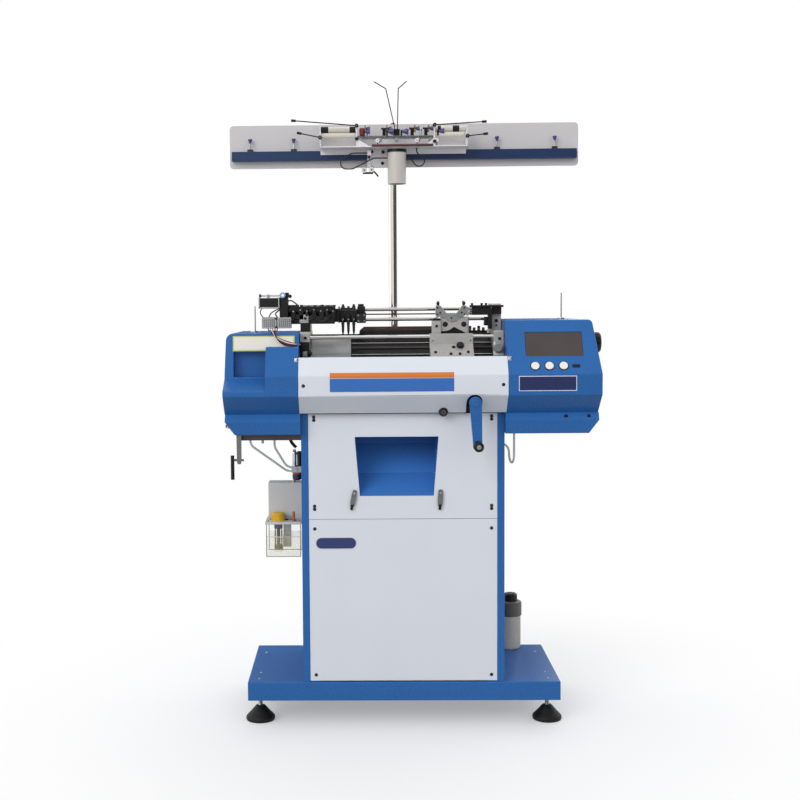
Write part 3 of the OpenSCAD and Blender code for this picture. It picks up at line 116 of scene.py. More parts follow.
def length_property(name, description, millimetres):
    """A length setting whose default is in millimetres."""
    return FloatProperty(
        name=name, description=description, unit="LENGTH", min=0, default=millimetres / 1000
    )


class KnittingColours(bpy.types.PropertyGroup):
    """Colours of the machine's finishes."""

    machine_blue: colour_property("Machine blue", "Powder coat of tray, cabinet and covers", "#2a63a5")
    panel_white: colour_property("Panel white", "Powder coat of the front panels", "#d9dde6")
    plastic_black: colour_property("Black plastic", "Moulded knobs, grips and blocks", "#0e0e10")
    plastic_white: colour_property("White plastic", "Push buttons and work lamp", "#e9e8e4")
    plastic_purple: colour_property("Purple plastic", "Yarn guides and tension knobs", "#3f3a78")
    plastic_red: colour_property("Red plastic", "Signal dome", "#b8261d")
    plastic_yellow: colour_property("Yellow plastic", "Oil cap", "#d8a81c")
    rubber_black: colour_property("Black rubber", "Feet, belt and cables", "#0b0b0c")
    cast_grey: colour_property("Cast grey", "Cam plates and end blocks", "#a9a8a5")
    cast_dark: colour_property("Dark casting", "Deck, motor and needle bed frame", "#3b3735")


class KnittingSizes(bpy.types.PropertyGroup):
    """Sizes of the fine detail that the finishes add."""

    fold_radius: length_property("Fold radius", "Radius of the sheet metal's folded edges", 1.5)
    sheet_edge: length_property("Sheet edge", "Rounding of cut sheet edges under their paint", 0.6)
    cast_edge: length_property("Cast edge", "Rounding of cast edges", 1.6)
    machined_edge: length_property("Machined edge", "Chamfer of turned and milled edges", 0.5)
    needle_width: length_property("Needle width", "Width of a knitting needle's stem", 1.3)
    needles: IntProperty(name="Needles", description="Needles in each bed", default=43, min=2, max=200)
    hose_diameter: length_property("Hose", "Outer diameter of the oil and air hoses", 7)
    cable_diameter: length_property("Cable", "Outer diameter of the lamp's and the sensor's cables", 4)


def colours():
    """The scene's colour settings."""
    return bpy.context.scene.knitting_colours


def sizes():
    """The scene's size settings."""
    return bpy.context.scene.knitting_sizes


# Materials


def put(tree, kind, links=(), **settings):
    """Add a node; settings go to the node, and links are (socket name, value or other socket)."""
    node = tree.nodes.new(kind)
    for key, value in settings.items():
        setattr(node, key, value)
    for socket, value in links:
        if isinstance(value, bpy.types.NodeSocket):
            tree.links.new(value, node.inputs[socket])
        else:
            node.inputs[socket].default_value = value
    return node


# Most of a noise texture's values lie between these two.
NOISE_LOW, NOISE_HIGH = 0.3, 0.7
# Depth in metres of a relief of full strength.
RELIEF_DEPTH = 0.0004


@lru_cache(None)
def finish(name, colour, mottle, patch, grain, relief, rough, stretch=(1, 1, 1), **sockets):
    """A finish with a mottled colour, a grained relief and a roughness that varies with the grain.

    colour is a hex code or the name of a colour property. patch and grain are the real sizes of the mottling
    and of the grain in millimetres. Each finish is made once and then shared.
    """
    colour = linear(colour) if colour[0] == "#" else getattr(colours(), colour)
    material = bpy.data.materials.new(name)
    material.use_nodes = True
    tree = material.node_tree
    shader = tree.nodes["Principled BSDF"]
    for socket, value in sockets.items():
        shader.inputs[socket.replace("_", " ")].default_value = value
    place = put(tree, "ShaderNodeTexCoord").outputs["Object"]
    cloud = put(tree, "ShaderNodeTexNoise", [("Vector", place), ("Scale", 1000 / patch), ("Detail", 3.0)])
    drawn = put(tree, "ShaderNodeMapping", [("Vector", place), ("Scale", stretch)])
    fine = put(tree, "ShaderNodeTexNoise",
               [("Vector", drawn.outputs["Vector"]), ("Scale", 1000 / grain), ("Detail", 2.0)])
    tone = put(tree, "ShaderNodeMapRange",
               [("Value", cloud.outputs["Fac"]), ("From Min", NOISE_LOW), ("From Max", NOISE_HIGH)])
    mix = put(tree, "ShaderNodeMix", [(0, tone.outputs["Result"])], data_type="RGBA")
    # The Mix node has a pair of sockets for each data type; the colour pair is the third.
    mix.inputs[6].default_value = (*[c * (1 - mottle) for c in colour], 1)
    mix.inputs[7].default_value = (*[min(1, c * (1 + mottle)) for c in colour], 1)
    tree.links.new(mix.outputs[2], shader.inputs["Base Color"])
    gloss = put(tree, "ShaderNodeMapRange",
                [("Value", fine.outputs["Fac"]), ("From Min", NOISE_LOW), ("From Max", NOISE_HIGH),
                 ("To Min", rough[0]), ("To Max", rough[1])])
    tree.links.new(gloss.outputs["Result"], shader.inputs["Roughness"])
    bump = put(tree, "ShaderNodeBump",
               [("Height", fine.outputs["Fac"]), ("Strength", relief), ("Distance", RELIEF_DEPTH)])
    tree.links.new(bump.outputs["Normal"], shader.inputs["Normal"])
    return material


# Polyester powder baked on sheet steel: satin, with an orange-peel ripple about 2.5 mm wide.
powder_coat_blue = partial(finish, "powder coat blue", "machine_blue", 0.04, 160, 2.5, relief=0.04,
                           rough=(0.24, 0.32), Specular_IOR_Level=0.2)

# The same powder in a cool light grey: satin and even, with a faint ripple.
powder_coat_white = partial(finish, "powder coat white", "panel_white", 0.015, 200, 2.5, relief=0.08,
                            rough=(0.32, 0.44))

# ABS from a spark-eroded mould: dull black with a 1 mm leathery grain.
moulded_black = partial(finish, "moulded ABS black", "plastic_black", 0.1, 40, 1.0, relief=0.2, rough=(0.38, 0.52),
                        Specular_IOR_Level=0.3)

# ABS from a polished mould: warm white with a soft gloss.
moulded_white = partial(finish, "moulded ABS white", "plastic_white", 0.015, 50, 1.5, relief=0.04,
                        rough=(0.25, 0.34))

# Filled polypropylene of the bottle's collar: warm dark grey with a fine matt texture.
moulded_grey = partial(finish, "moulded grey polypropylene", "#5b5853", 0.06, 40, 1.2, relief=0.12,
                       rough=(0.4, 0.55))

# Pigmented nylon: deep violet with a waxy gloss.
moulded_purple = partial(finish, "moulded nylon purple", "plastic_purple", 0.08, 20, 0.8, relief=0.1,
                         rough=(0.3, 0.4))

# Polypropylene: warm yellow with a slightly greasy gloss.
moulded_yellow = partial(finish, "moulded polypropylene yellow", "plastic_yellow", 0.06, 20, 0.8, relief=0.1,
                         rough=(0.3, 0.42))

# Glazed ceramic thread tube: cream with a hard gloss.
glazed_cream = partial(finish, "glazed ceramic cream", "#d8d3c8", 0.03, 30, 2.0, relief=0.03, rough=(0.12, 0.2))

# Tinted polycarbonate dome: saturated red that lets some light in.
signal_red = partial(finish, "tinted polycarbonate red", "plastic_red", 0.04, 20, 2.0, relief=0.03,
                     rough=(0.1, 0.18), Transmission_Weight=0.25, IOR=1.58)

# Moulded rubber: near black, with grey dust in patches about 15 mm wide.
foot_rubber = partial(finish, "moulded rubber", "rubber_black", 0.3, 15, 1.5, relief=0.25, rough=(0.5, 0.7),
                      Specular_IOR_Level=0.3)

# Soft PVC sheath: black with a low gloss.
cable_vinyl = partial(finish, "vinyl cable sheath", "rubber_black", 0.1, 20, 1.0, relief=0.08, rough=(0.4, 0.5))

# Hard chrome on drawn tube: mirror bright with faint draw lines along its length.
chrome_plate = partial(finish, "chrome plate", "#d6d3d0", 0.02, 60, 1.5, stretch=(1, 1, 0.02), relief=0.0,
                       rough=(0.05, 0.09), Metallic=1.0)

# Cylindrically ground steel: bright grey with fine lines round the bar, drawn 1.2 mm wide so they show.
ground_steel = partial(finish, "ground steel", "#bdbfc2", 0.04, 60, 1.2, stretch=(1, 0.05, 0.05), relief=0.015,
                       rough=(0.16, 0.24), Metallic=1.0)

# Zinc-plated fasteners: pale grey and a little cloudy.
zinc_steel = partial(finish, "zinc-plated steel", "#a3a6a8", 0.12, 6, 0.8, relief=0.06, rough=(0.28, 0.42),
                     Metallic=1.0)

# Bead-blasted aluminium casting: warm grey and matt, with a 1.5 mm grit.
cast_aluminium = partial(finish, "blasted cast aluminium", "cast_grey", 0.06, 35, 1.5, relief=0.25,
                         rough=(0.45, 0.6), Metallic=0.35)

# Milled aluminium plate: light grey with cutter lines about 1.5 mm apart.
milled_grey = partial(finish, "milled aluminium", "#a6a7a8", 0.06, 40, 1.5, stretch=(0.06, 1, 1), relief=0.08,
                      rough=(0.28, 0.4), Metallic=0.8)

# Sand-cast iron under an oil film: brown-black with a 2 mm sand grain.
oiled_iron = partial(finish, "oiled cast iron", "cast_dark", 0.2, 30, 2.0, relief=0.35, rough=(0.4, 0.6),
                     Metallic=0.5)

# Blackened needle bed steel: nearly black with a dull metal sheen.
blued_steel = partial(finish, "blackened bed steel", "#2b2a2b", 0.15, 25, 1.0, stretch=(1, 0.1, 0.1), relief=0.05,
                      rough=(0.26, 0.4), Metallic=0.85)

# Bronze sinker comb browned by oil.
comb_brown = partial(finish, "oiled bronze", "#564440", 0.15, 15, 1.0, relief=0.08, rough=(0.3, 0.45), Metallic=0.7)

# Turned brass discs: yellow metal with turning rings.
brass = partial(finish, "turned brass", "#86734f", 0.08, 10, 0.8, relief=0.05, rough=(0.2, 0.32), Metallic=1.0)

# Oil-stained drip ledge: dark brown paint.
ledge_brown = partial(finish, "stained brown paint", "#3a2f2c", 0.2, 40, 2.0, relief=0.15, rough=(0.35, 0.5))

# Stove enamel on the pump's pressed housing: mid grey and smooth.
housing_grey = partial(finish, "stove enamel grey", "#c9c8c6", 0.04, 60, 2.5, relief=0.06, rough=(0.3, 0.42))

# Cast acrylic: clear, with a faint grey where two walls overlap.
tank_acrylic = partial(finish, "clear acrylic", "#e2e6e2", 0.02, 60, 3.0, relief=0.01, rough=(0.04, 0.09),
                       IOR=1.49, Alpha=0.06)

# Light machine oil: pale straw yellow, clear enough to show what stands in it.
machine_oil = partial(finish, "machine oil", "#d9cf7c", 0.03, 60, 5.0, relief=0.01, rough=(0.05, 0.1), IOR=1.47,
                      Alpha=0.13)

# Clear flexible PVC: milky, so that it stays lighter than what lies behind it.
hose_vinyl = partial(finish, "clear vinyl hose", "#b9bfc0", 0.06, 25, 2.0, relief=0.03, rough=(0.16, 0.26),
                     IOR=1.53, Alpha=0.6)

# Blow-moulded polyethylene: cloudy and waxy.
bottle_polyethylene = partial(finish, "milky polyethylene", "#cfcbc0", 0.06, 30, 2.0, relief=0.06,
                              rough=(0.3, 0.42), Transmission_Weight=0.2, IOR=1.51)

# Switched-off screen behind an anti-glare pane: dark brown-grey with a broad, weak gloss.
screen_glass = partial(finish, "anti-glare screen pane", "#453f3e", 0.06, 70, 4.0, relief=0.01, rough=(0.4, 0.5),
                       Specular_IOR_Level=0.3)

# Darker powder on the yarn rail's channel: navy satin.
powder_coat_navy = partial(finish, "powder coat navy", "#1c345c", 0.06, 120, 2.5, relief=0.1, rough=(0.3, 0.42),
                           Specular_IOR_Level=0.35)

# The machine's blue powder inside the chute, painted brighter and glossier than outside: painted light that offsets the
# shade in the recess.
powder_coat_chute_lit = partial(finish, "powder coat chute blue", "#3f79c6", 0.04, 160, 2.5, relief=0.04,
                            rough=(0.22, 0.3), Specular_IOR_Level=0.3)

# White powder of the yarn rail: a neutral light grey without the panels' blue cast.
powder_coat_rail = partial(finish, "powder coat rail white", "#c9c6c8", 0.015, 200, 2.5, relief=0.08,
                           rough=(0.32, 0.44))

# White powder of the tension bracket, painted paler than the rail behind it: painted light against the shade that falls
# on the bracket.
powder_coat_bracket_lit = partial(finish, "powder coat bracket white", "#e6e4e7", 0.015, 200, 2.5, relief=0.08,
                              rough=(0.32, 0.44))

# Enamelled lamp shade: warm light grey with a soft gloss.
lamp_enamel = partial(finish, "lamp enamel", "#c6c1bb", 0.02, 60, 2.0, relief=0.04, rough=(0.25, 0.36))

# Blackened fasteners and small fittings: dark grey metal with a dull shine.
black_oxide = partial(finish, "black oxide steel", "#2c2d2f", 0.15, 8, 0.8, relief=0.06, rough=(0.3, 0.45),
                      Metallic=0.6)

# Pressed steel with a grey phosphate coat: mid grey and dull.
pressed_steel = partial(finish, "phosphated steel", "#6d6f70", 0.12, 12, 1.0, relief=0.08, rough=(0.35, 0.5),
                        Metallic=0.5)

# Light blue anodised ring: pale, with a soft metal sheen.
anodised_blue = partial(finish, "anodised blue", "#8fb2d6", 0.05, 15, 1.0, relief=0.04, rough=(0.25, 0.35),
                        Metallic=0.6)


def label_ink(code):
    # Screen-printed vinyl label: one even colour with a low gloss.
    return finish(f"printed label {code[1:]}", code, 0.02, 40, 1.5, relief=0.03, rough=(0.35, 0.45))


def seen_rays(tree):
    """The light path's outputs, and a value that is 1 for what is seen directly, in a mirror or through glass."""
    ray = put(tree, "ShaderNodeLightPath").outputs
    seen = ray["Is Camera Ray"]
    for kind in ("Is Glossy Ray", "Is Transmission Ray"):
        seen = put(tree, "ShaderNodeMath", [(0, seen), (1, ray[kind])], operation="MAXIMUM").outputs[0]
    return ray, seen


def studio_floor():
    # Seamless pale paper that fades to the white of the background.
    material = bpy.data.materials.new("studio paper")
    material.use_nodes = True
    tree = material.node_tree
    shader = tree.nodes["Principled BSDF"]
    shader.inputs["Base Color"].default_value = (*linear("#cececf"), 1)
    shader.inputs["Roughness"].default_value = 0.9
    shader.inputs["Emission Color"].default_value = (1, 1, 1, 1)
    shader.inputs["Emission Strength"].default_value = 0.3
    place = put(tree, "ShaderNodeTexCoord").outputs["Object"]
    far = put(tree, "ShaderNodeVectorMath", [(0, place)], operation="LENGTH")
    fade = put(tree, "ShaderNodeMapRange",
               [("Value", far.outputs["Value"]), ("From Min", 0.55), ("From Max", 1.7)],
               interpolation_type="SMOOTHSTEP")
    white = put(tree, "ShaderNodeEmission", [("Color", (1, 1, 1, 1)), ("Strength", 1.0)])
    ray, seen = seen_rays(tree)
    share = put(tree, "ShaderNodeMath", [(0, fade.outputs["Result"]), (1, seen)], operation="MULTIPLY")
    mix = put(tree, "ShaderNodeMixShader", [(0, share.outputs[0]), (1, shader.outputs[0]), (2, white.outputs[0])])
    # The paper throws back little light from below, as the floor of a room would.
    dull = put(tree, "ShaderNodeBsdfDiffuse", [("Color", (*linear("#959595"), 1))])
    both = put(tree, "ShaderNodeMixShader",
               [(0, ray["Is Diffuse Ray"]), (1, mix.outputs[0]), (2, dull.outputs[0])])
    tree.links.new(both.outputs[0], tree.nodes["Material Output"].inputs["Surface"])
    return material


# Modelling helpers


def pick(*objects):
    """Select these objects alone; the first becomes active."""
    bpy.ops.object.select_all(action="DESELECT")
    for item in objects:
        item.select_set(True)
    bpy.context.view_layer.objects.active = objects[0]


@contextmanager
def editing(item, faces=None):
    """Edit mode with the whole mesh selected, or only the faces that pass a test of (centre, normal)."""
    pick(item)
    bpy.context.tool_settings.mesh_select_mode = (False, False, True) if faces else (True, False, False)
    if faces:
        for part in (item.data.vertices, item.data.edges):
            for one in part:
                one.select = False
        for face in item.data.polygons:
            face.select = faces((face.center - MIDDLE) * 1000, face.normal)
    bpy.ops.object.mode_set(mode="EDIT")
    if not faces:
        bpy.ops.mesh.select_all(action="SELECT")
    yield
    bpy.ops.object.mode_set(mode="OBJECT")


def added(name):
    """The primitive that was just added, with its place and size applied."""
    item = bpy.context.object
    item.name = name
    item.data.name = name
    bpy.ops.object.transform_apply(location=True, rotation=True, scale=True)
    return item


def paint(item, material):
    """Give a piece one material."""
    item.data.materials.clear()
    item.data.materials.append(material)
    return item


def smooth(item, degrees=35):
    """Shade a piece smooth, apart from edges that turn by more than an angle."""
    pick(item)
    bpy.ops.object.shade_smooth_by_angle(angle=math.radians(degrees))
    return item


def block(name, low, high, material, edge=0.5, rounds=2):
    """A block between two corners in the machine's millimetres, with rounded edges."""
    low, high = Vector(low), Vector(high)
    bpy.ops.object.select_all(action="DESELECT")
    bpy.ops.mesh.primitive_cube_add(size=1, location=at(*(low + high) / 2), scale=(high - low) / 1000)
    item = added(name)
    with editing(item):
        bpy.ops.mesh.bevel(offset=edge / 1000, segments=rounds, affect="EDGES")
    return paint(smooth(item), material)


def drawn_line(name, points):
    """A line of edges through points in metres, drawn out from one vertex."""
    bpy.ops.object.select_all(action="DESELECT")
    bpy.ops.mesh.primitive_plane_add(size=0.001)
    item = bpy.context.object
    item.name = item.data.name = name
    with editing(item):
        bpy.ops.mesh.merge(type="CENTER")
        bpy.ops.transform.translate(value=points[0])
        for here, there in zip(points, points[1:]):
            bpy.ops.mesh.extrude_vertices_move(TRANSFORM_OT_translate={"value": there - here})
    return item


# Turns that bring the Z axis to a direction.
TURNS = {
    "Z": (0, 0, 0), "X": (0, math.pi / 2, 0), "-X": (0, -math.pi / 2, 0), "Y": (-math.pi / 2, 0, 0),
    "-Y": (math.pi / 2, 0, 0),
}


def bar(radius, low, high):
    """Profile of a plain round bar."""
    return [(0, low), (radius, low), (radius, high), (0, high)]


def barrel(radius, low, high, cut, rise):
    """Profile of a bar whose rims are cut back by cut across and rise along."""
    return [(0, low), (radius - cut, low), (radius, low + rise), (radius, high - rise), (radius - cut, high),
            (0, high)]


def turned(name, profile, place, material, axis="Z", steps=32, crease=40):
    """A turned piece: profile points (radius, height) in millimetres are drawn out and spun about the axis.

    axis is a key of TURNS or three angles.
    """
    item = drawn_line(name, [Vector((radius, 0, height)) / 1000 for radius, height in profile])
    with editing(item):
        bpy.ops.mesh.spin(steps=steps, angle=2 * math.pi, center=(0, 0, 0), axis=(0, 0, 1))
        bpy.ops.mesh.select_all(action="SELECT")
        bpy.ops.mesh.remove_doubles(threshold=1e-6)
        bpy.ops.mesh.normals_make_consistent(inside=False)
    item.rotation_euler = TURNS.get(axis, axis)
    item.location = at(*place)
    pick(item)
    bpy.ops.object.transform_apply(location=True, rotation=True, scale=True)
    return paint(smooth(item, crease), material)


def cap_screw(place, radius, axis, material):
    """A socket-head screw that sits on a face at place."""
    shape = ((0, 0.4), (0.45, 0.4), (0.5, 0.9), (0.85, 0.9), (1, 0.75), (1, 0), (0, 0))
    return turned("screw", [(across * radius, height * radius) for across, height in shape], place, material,
                  axis=axis, steps=16)


def front_screws(depth, spots, radius, material):
    """Socket-head screws at (x, z) spots of a front face at a depth y."""
    return [cap_screw((x, depth, z), radius, "-Y", material) for x, z in spots]


def ball(place, radius, material):
    """A ball knob, turned from a half circle."""
    steps = [math.radians(a) for a in range(-90, 91, 18)]
    return turned("ball", [(radius * math.cos(a), radius * math.sin(a)) for a in steps], place, material, steps=20)


def ribbon(name, left, right, profile, thickness, material):
    """A bent strip from left to right whose profile of (y, z) points lies on what carries it."""
    item = drawn_line(name, [at(left, y, z) for y, z in profile])
    with editing(item):
        bpy.ops.mesh.extrude_edges_move(TRANSFORM_OT_translate={"value": ((right - left) / 1000, 0, 0)})
        bpy.ops.mesh.select_all(action="SELECT")
        bpy.ops.mesh.normals_make_consistent(inside=False)
    pick(item)
    wall = item.modifiers.new("thickness", "SOLIDIFY")
    wall.thickness = thickness / 1000
    wall.offset = 0
    bpy.ops.object.modifier_apply(modifier=wall.name)
    with editing(item):
        bpy.ops.mesh.normals_make_consistent(inside=False)
    return paint(smooth(item), material)


def rounded_rectangle(left, low, right, high, radius, steps=5):
    """Corner points (x, z) of a rectangle with rounded corners."""
    outline = []
    for x, z, start in ((right - radius, high - radius, 0), (left + radius, high - radius, 90),
                        (left + radius, low + radius, 180), (right - radius, low + radius, 270)):
        for k in range(steps + 1):
            angle = math.radians(start + 90 * k / steps)
            outline.append((x + radius * math.cos(angle), z + radius * math.sin(angle)))
    return outline


def cut_plate(name, outline, near, far, material, edge=0.4):
    """A plate of an outline of (x, z) points between two depths y, with rounded edges."""
    bpy.ops.object.select_all(action="DESELECT")
    bpy.ops.mesh.primitive_circle_add(vertices=len(outline), fill_type="NGON")
    item = added(name)
    for vertex, (x, z) in zip(item.data.vertices, outline):
        vertex.co = at(x, near, z)
    with editing(item):
        bpy.ops.mesh.extrude_region_move(TRANSFORM_OT_translate={"value": (0, (far - near) / 1000, 0)})
        bpy.ops.mesh.select_all(action="SELECT")
        bpy.ops.mesh.normals_make_consistent(inside=False)
        if edge:
            bpy.ops.mesh.bevel(offset=edge / 1000, segments=2, affect="EDGES")
    return paint(smooth(item), material)


def round_curve(name, kind, thickness, rounds):
    """A curve object whose section is a circle of a thickness in metres, and its one spline."""
    line = bpy.data.curves.new(name, "CURVE")
    line.dimensions = "3D"
    line.bevel_depth = thickness / 2
    line.bevel_resolution = rounds
    line.use_fill_caps = True
    item = bpy.data.objects.new(name, line)
    bpy.context.scene.collection.objects.link(item)
    return item, line.splines.new(kind)


def wire(name, points, thickness, material):
    """A bent wire or fixed lead through points in the machine's millimetres."""
    item, spline = round_curve(name, "BEZIER", thickness / 1000, 3)
    spline.bezier_points.add(len(points) - 1)
    for knot, point in zip(spline.bezier_points, points):
        knot.co = at(*point)
        knot.handle_left_type = knot.handle_right_type = "AUTO"
    pick(item)
    bpy.ops.object.convert(target="MESH")
    return paint(smooth(bpy.context.object, 50), material)


def copies(item, offsets):
    """Copies of a piece at offsets in millimetres, each with its own mesh, with the first one."""
    made = [item]
    for offset in offsets:
        pick(item)
        bpy.ops.object.duplicate(linked=False)
        other = bpy.context.object
        other.location = Vector(offset) / 1000
        bpy.ops.object.transform_apply(location=True, rotation=False, scale=False)
        made.append(other)
    return made


def hand_over(name, parts, body, slot, *stands_for):
    """Join the parts to one piece that rides on a body and stands for CAD nodes; slot is not used."""
    pick(*parts)
    if len(parts) > 1:
        bpy.ops.object.join()
    piece = bpy.context.object
    piece.name = piece.data.name = name
    # Large faces keep their own normals, so that rounded edges don't tint them.
    even = piece.modifiers.new("even shading", "WEIGHTED_NORMAL")
    even.keep_sharp = True
    bpy.ops.object.modifier_apply(modifier=even.name)
    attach(piece, body)
    if stands_for:
        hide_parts(*stands_for)


def stand_in(node, parts, slot):
    """Join the parts to the piece that takes a CAD node's place."""
    hand_over(node + "_finished", parts, BODY_OF[node], slot, node)


def skin(node, material, edge, rounds=2, crease=30, others=()):
    """A merged copy of a CAD node with its edges rounded by edge metres.

    others are (material, test) pairs that paint the faces whose (centre, normal) pass the test.
    """
    item = bpy.data.objects.new(node + "_skin", frame["nodes"][node].data.copy())
    bpy.context.scene.collection.objects.link(item)
    with editing(item):
        bpy.ops.mesh.remove_doubles(threshold=1e-5)
        bpy.ops.mesh.dissolve_limited(angle_limit=math.radians(0.4))
    paint(item, material)
    for other, test in others:
        item.data.materials.append(other)
        for face in item.data.polygons:
            if test((face.center - MIDDLE) * 1000, face.normal):
                face.material_index = len(item.data.materials) - 1
    if edge:
        pick(item)
        bevel = item.modifiers.new("rounded edges", "BEVEL")
        bevel.width = edge
        bevel.segments = rounds
        bevel.limit_method = "ANGLE"
        bevel.angle_limit = math.radians(crease)
        bevel.use_clamp_overlap = False
        bpy.ops.object.modifier_apply(modifier=bevel.name)
    return smooth(item, crease)


def dress(node, material, slot, edge, **how):
    """A finished copy of a node in the node's own place."""
    stand_in(node, [skin(node, material, edge, **how)], slot)


# The console's face leans back by this angle.
CONSOLE_TILT = math.radians(29.98)
# The needle beds fall by this slope; the front one starts at this (y, z).
BED_SLOPE = math.radians(38.8)
BED_RIDGE = (-72, 1172)


def front_bed(along, above):
    """(y, z) of a point down the front needle bed and above its face."""
    return (BED_RIDGE[0] - along * math.cos(BED_SLOPE) - above * math.sin(BED_SLOPE),
            BED_RIDGE[1] - along * math.sin(BED_SLOPE) + above * math.cos(BED_SLOPE))


# Stage and cords


class KNITTING_OT_stage(bpy.types.Operator):
    """Set up the camera, the floor, the lights and the white background"""

    bl_idname = "knitting.stage"
    bl_label = "Stage"

    # The camera fitted to the photo's straight edges: place in millimetres, angles in radians, lens and sensor
    # in millimetres, and shift of the picture.
    EYE = (-121.9, -4056.1, 1265.1)
    YAW, PITCH, ROLL = -0.0207, 0.0725, -0.0087
    FOCAL_LENGTH, SENSOR_WIDTH = 58.545, 36
    SHIFT = (0.082, -0.0021)
    # In metres: the floor's side, and the cards' side, distance and height.
    FLOOR_SIZE = 24
    CARD_SIZE, CARD_REACH, CARD_HEIGHT = 5.2, 7, 1.9
    # Name, direction it comes from, spread in degrees and power of each sun.
    SUNS = (
        ("key", (-0.75, -1.0, 0.62), 38, 1.3),
        ("fill", (0.5, -1.0, -0.05), 80, 0.95),
        ("top", (0.1, 0.25, 1.0), 60, 0.3),
        ("left", (-1.0, 0.3, 0.35), 70, 0.55),
        ("right", (1.0, 0.3, 0.35), 70, 0.45),
        ("back", (0.2, 1.0, 0.5), 70, 0.9),
    )
    # Place round the machine in degrees from the front, and share of the full width, of each card.
    CARDS = ((16, 1.7), (63, 0.6), (180, 0.6))

    def execute(self, context):
        self.camera(context.scene)
        self.floor()
        self.lights()
        self.cards()
        self.background(context.scene)
        context.scene.view_settings.view_transform = "Standard"
        return {"FINISHED"}

    def camera(self, scene):
        """The photo's camera: turned sideways and down, then rolled."""
        yaw, pitch, roll = self.YAW, self.PITCH, self.ROLL
        ahead = Vector((math.sin(yaw) * math.cos(pitch), math.cos(yaw) * math.cos(pitch), -math.sin(pitch)))
        right = Vector((math.cos(yaw), -math.sin(yaw), 0))
        up = right.cross(ahead)
        right, up = (math.cos(roll) * right + math.sin(roll) * up, math.cos(roll) * up - math.sin(roll) * right)
        lens = bpy.data.cameras.new("photo camera")
        lens.sensor_fit = "HORIZONTAL"
        lens.sensor_width = self.SENSOR_WIDTH
        lens.lens = self.FOCAL_LENGTH
        lens.shift_x, lens.shift_y = self.SHIFT
        lens.clip_end = 50
        camera = bpy.data.objects.new("photo camera", lens)
        turn = Matrix((right, up, -ahead)).transposed().to_4x4()
        camera.matrix_world = Matrix.Translation(at(*self.EYE)) @ turn
        scene.collection.objects.link(camera)
        scene.camera = camera

    def floor(self):
        """A wide floor of paper."""
        bpy.ops.object.select_all(action="DESELECT")
        bpy.ops.mesh.primitive_grid_add(x_subdivisions=4, y_subdivisions=4, size=self.FLOOR_SIZE)
        floor = added("floor")
        paint(floor, studio_floor())

    def lights(self):
        """Wide suns, so that the light is as strong at the rail as at the base and even all round."""
        for name, source, spread, power in self.SUNS:
            lamp = bpy.data.lights.new(name, "SUN")
            lamp.angle = math.radians(spread)
            lamp.energy = power
            holder = bpy.data.objects.new(name, lamp)
            holder.rotation_euler = Vector(source).to_track_quat("Z", "Y").to_euler()
            bpy.context.scene.collection.objects.link(holder)

    def cards(self):
        """Dark cards round the studio that only reflections show; they give chrome and paint their contrast."""
        shade = bpy.data.materials.new("dark studio card")
        shade.use_nodes = True
        shader = shade.node_tree.nodes["Principled BSDF"]
        shader.inputs["Base Color"].default_value = (*linear("#504d4b"), 1)
        for number, (degrees, width) in enumerate(self.CARDS):
            turn = math.radians(degrees)
            place = (self.CARD_REACH * math.sin(turn), -self.CARD_REACH * math.cos(turn), self.CARD_HEIGHT)
            bpy.ops.object.select_all(action="DESELECT")
            bpy.ops.mesh.primitive_grid_add(
                x_subdivisions=2, y_subdivisions=2, size=self.CARD_SIZE, location=place,
                rotation=(math.pi / 2, 0, turn))
            card = added(f"card_{number}")
            card.scale.x = width
            for ray in ("camera", "diffuse", "transmission", "shadow", "volume_scatter"):
                setattr(card, "visible_" + ray, False)
            paint(card, shade)

    def background(self, scene):
        """A world that is white to look at and gives less light."""
        world = bpy.data.worlds.new("white studio")
        world.use_nodes = True
        tree = world.node_tree
        _, seen = seen_rays(tree)
        level = put(tree, "ShaderNodeMapRange", [("Value", seen), ("To Min", 0.52), ("To Max", 1.0)])
        sky = tree.nodes["Background"]
        sky.inputs["Color"].default_value = (1, 1, 1, 1)
        tree.links.new(level.outputs["Result"], sky.inputs["Strength"])
        scene.world = world


def bent(path, radius, steps):
    """The route through corner points, with each inner corner bent to a radius."""
    path = [Vector(point) for point in path]
    route = [path[0]]
    for before, corner, after in zip(path, path[1:], path[2:]):
        d0, d1 = (corner - before).normalized(), (after - corner).normalized()
        turn = d0.angle(d1)
        centre = corner + (d1 - d0).normalized() * radius / math.cos(turn / 2)
        e0 = (corner - d0 * radius * math.tan(turn / 2) - centre).normalized()
        for k in range(steps + 1):
            angle = turn * k / steps
            route.append(centre + radius * (math.cos(angle) * e0 + math.sin(angle) * d0))
    return route + [path[-1]]


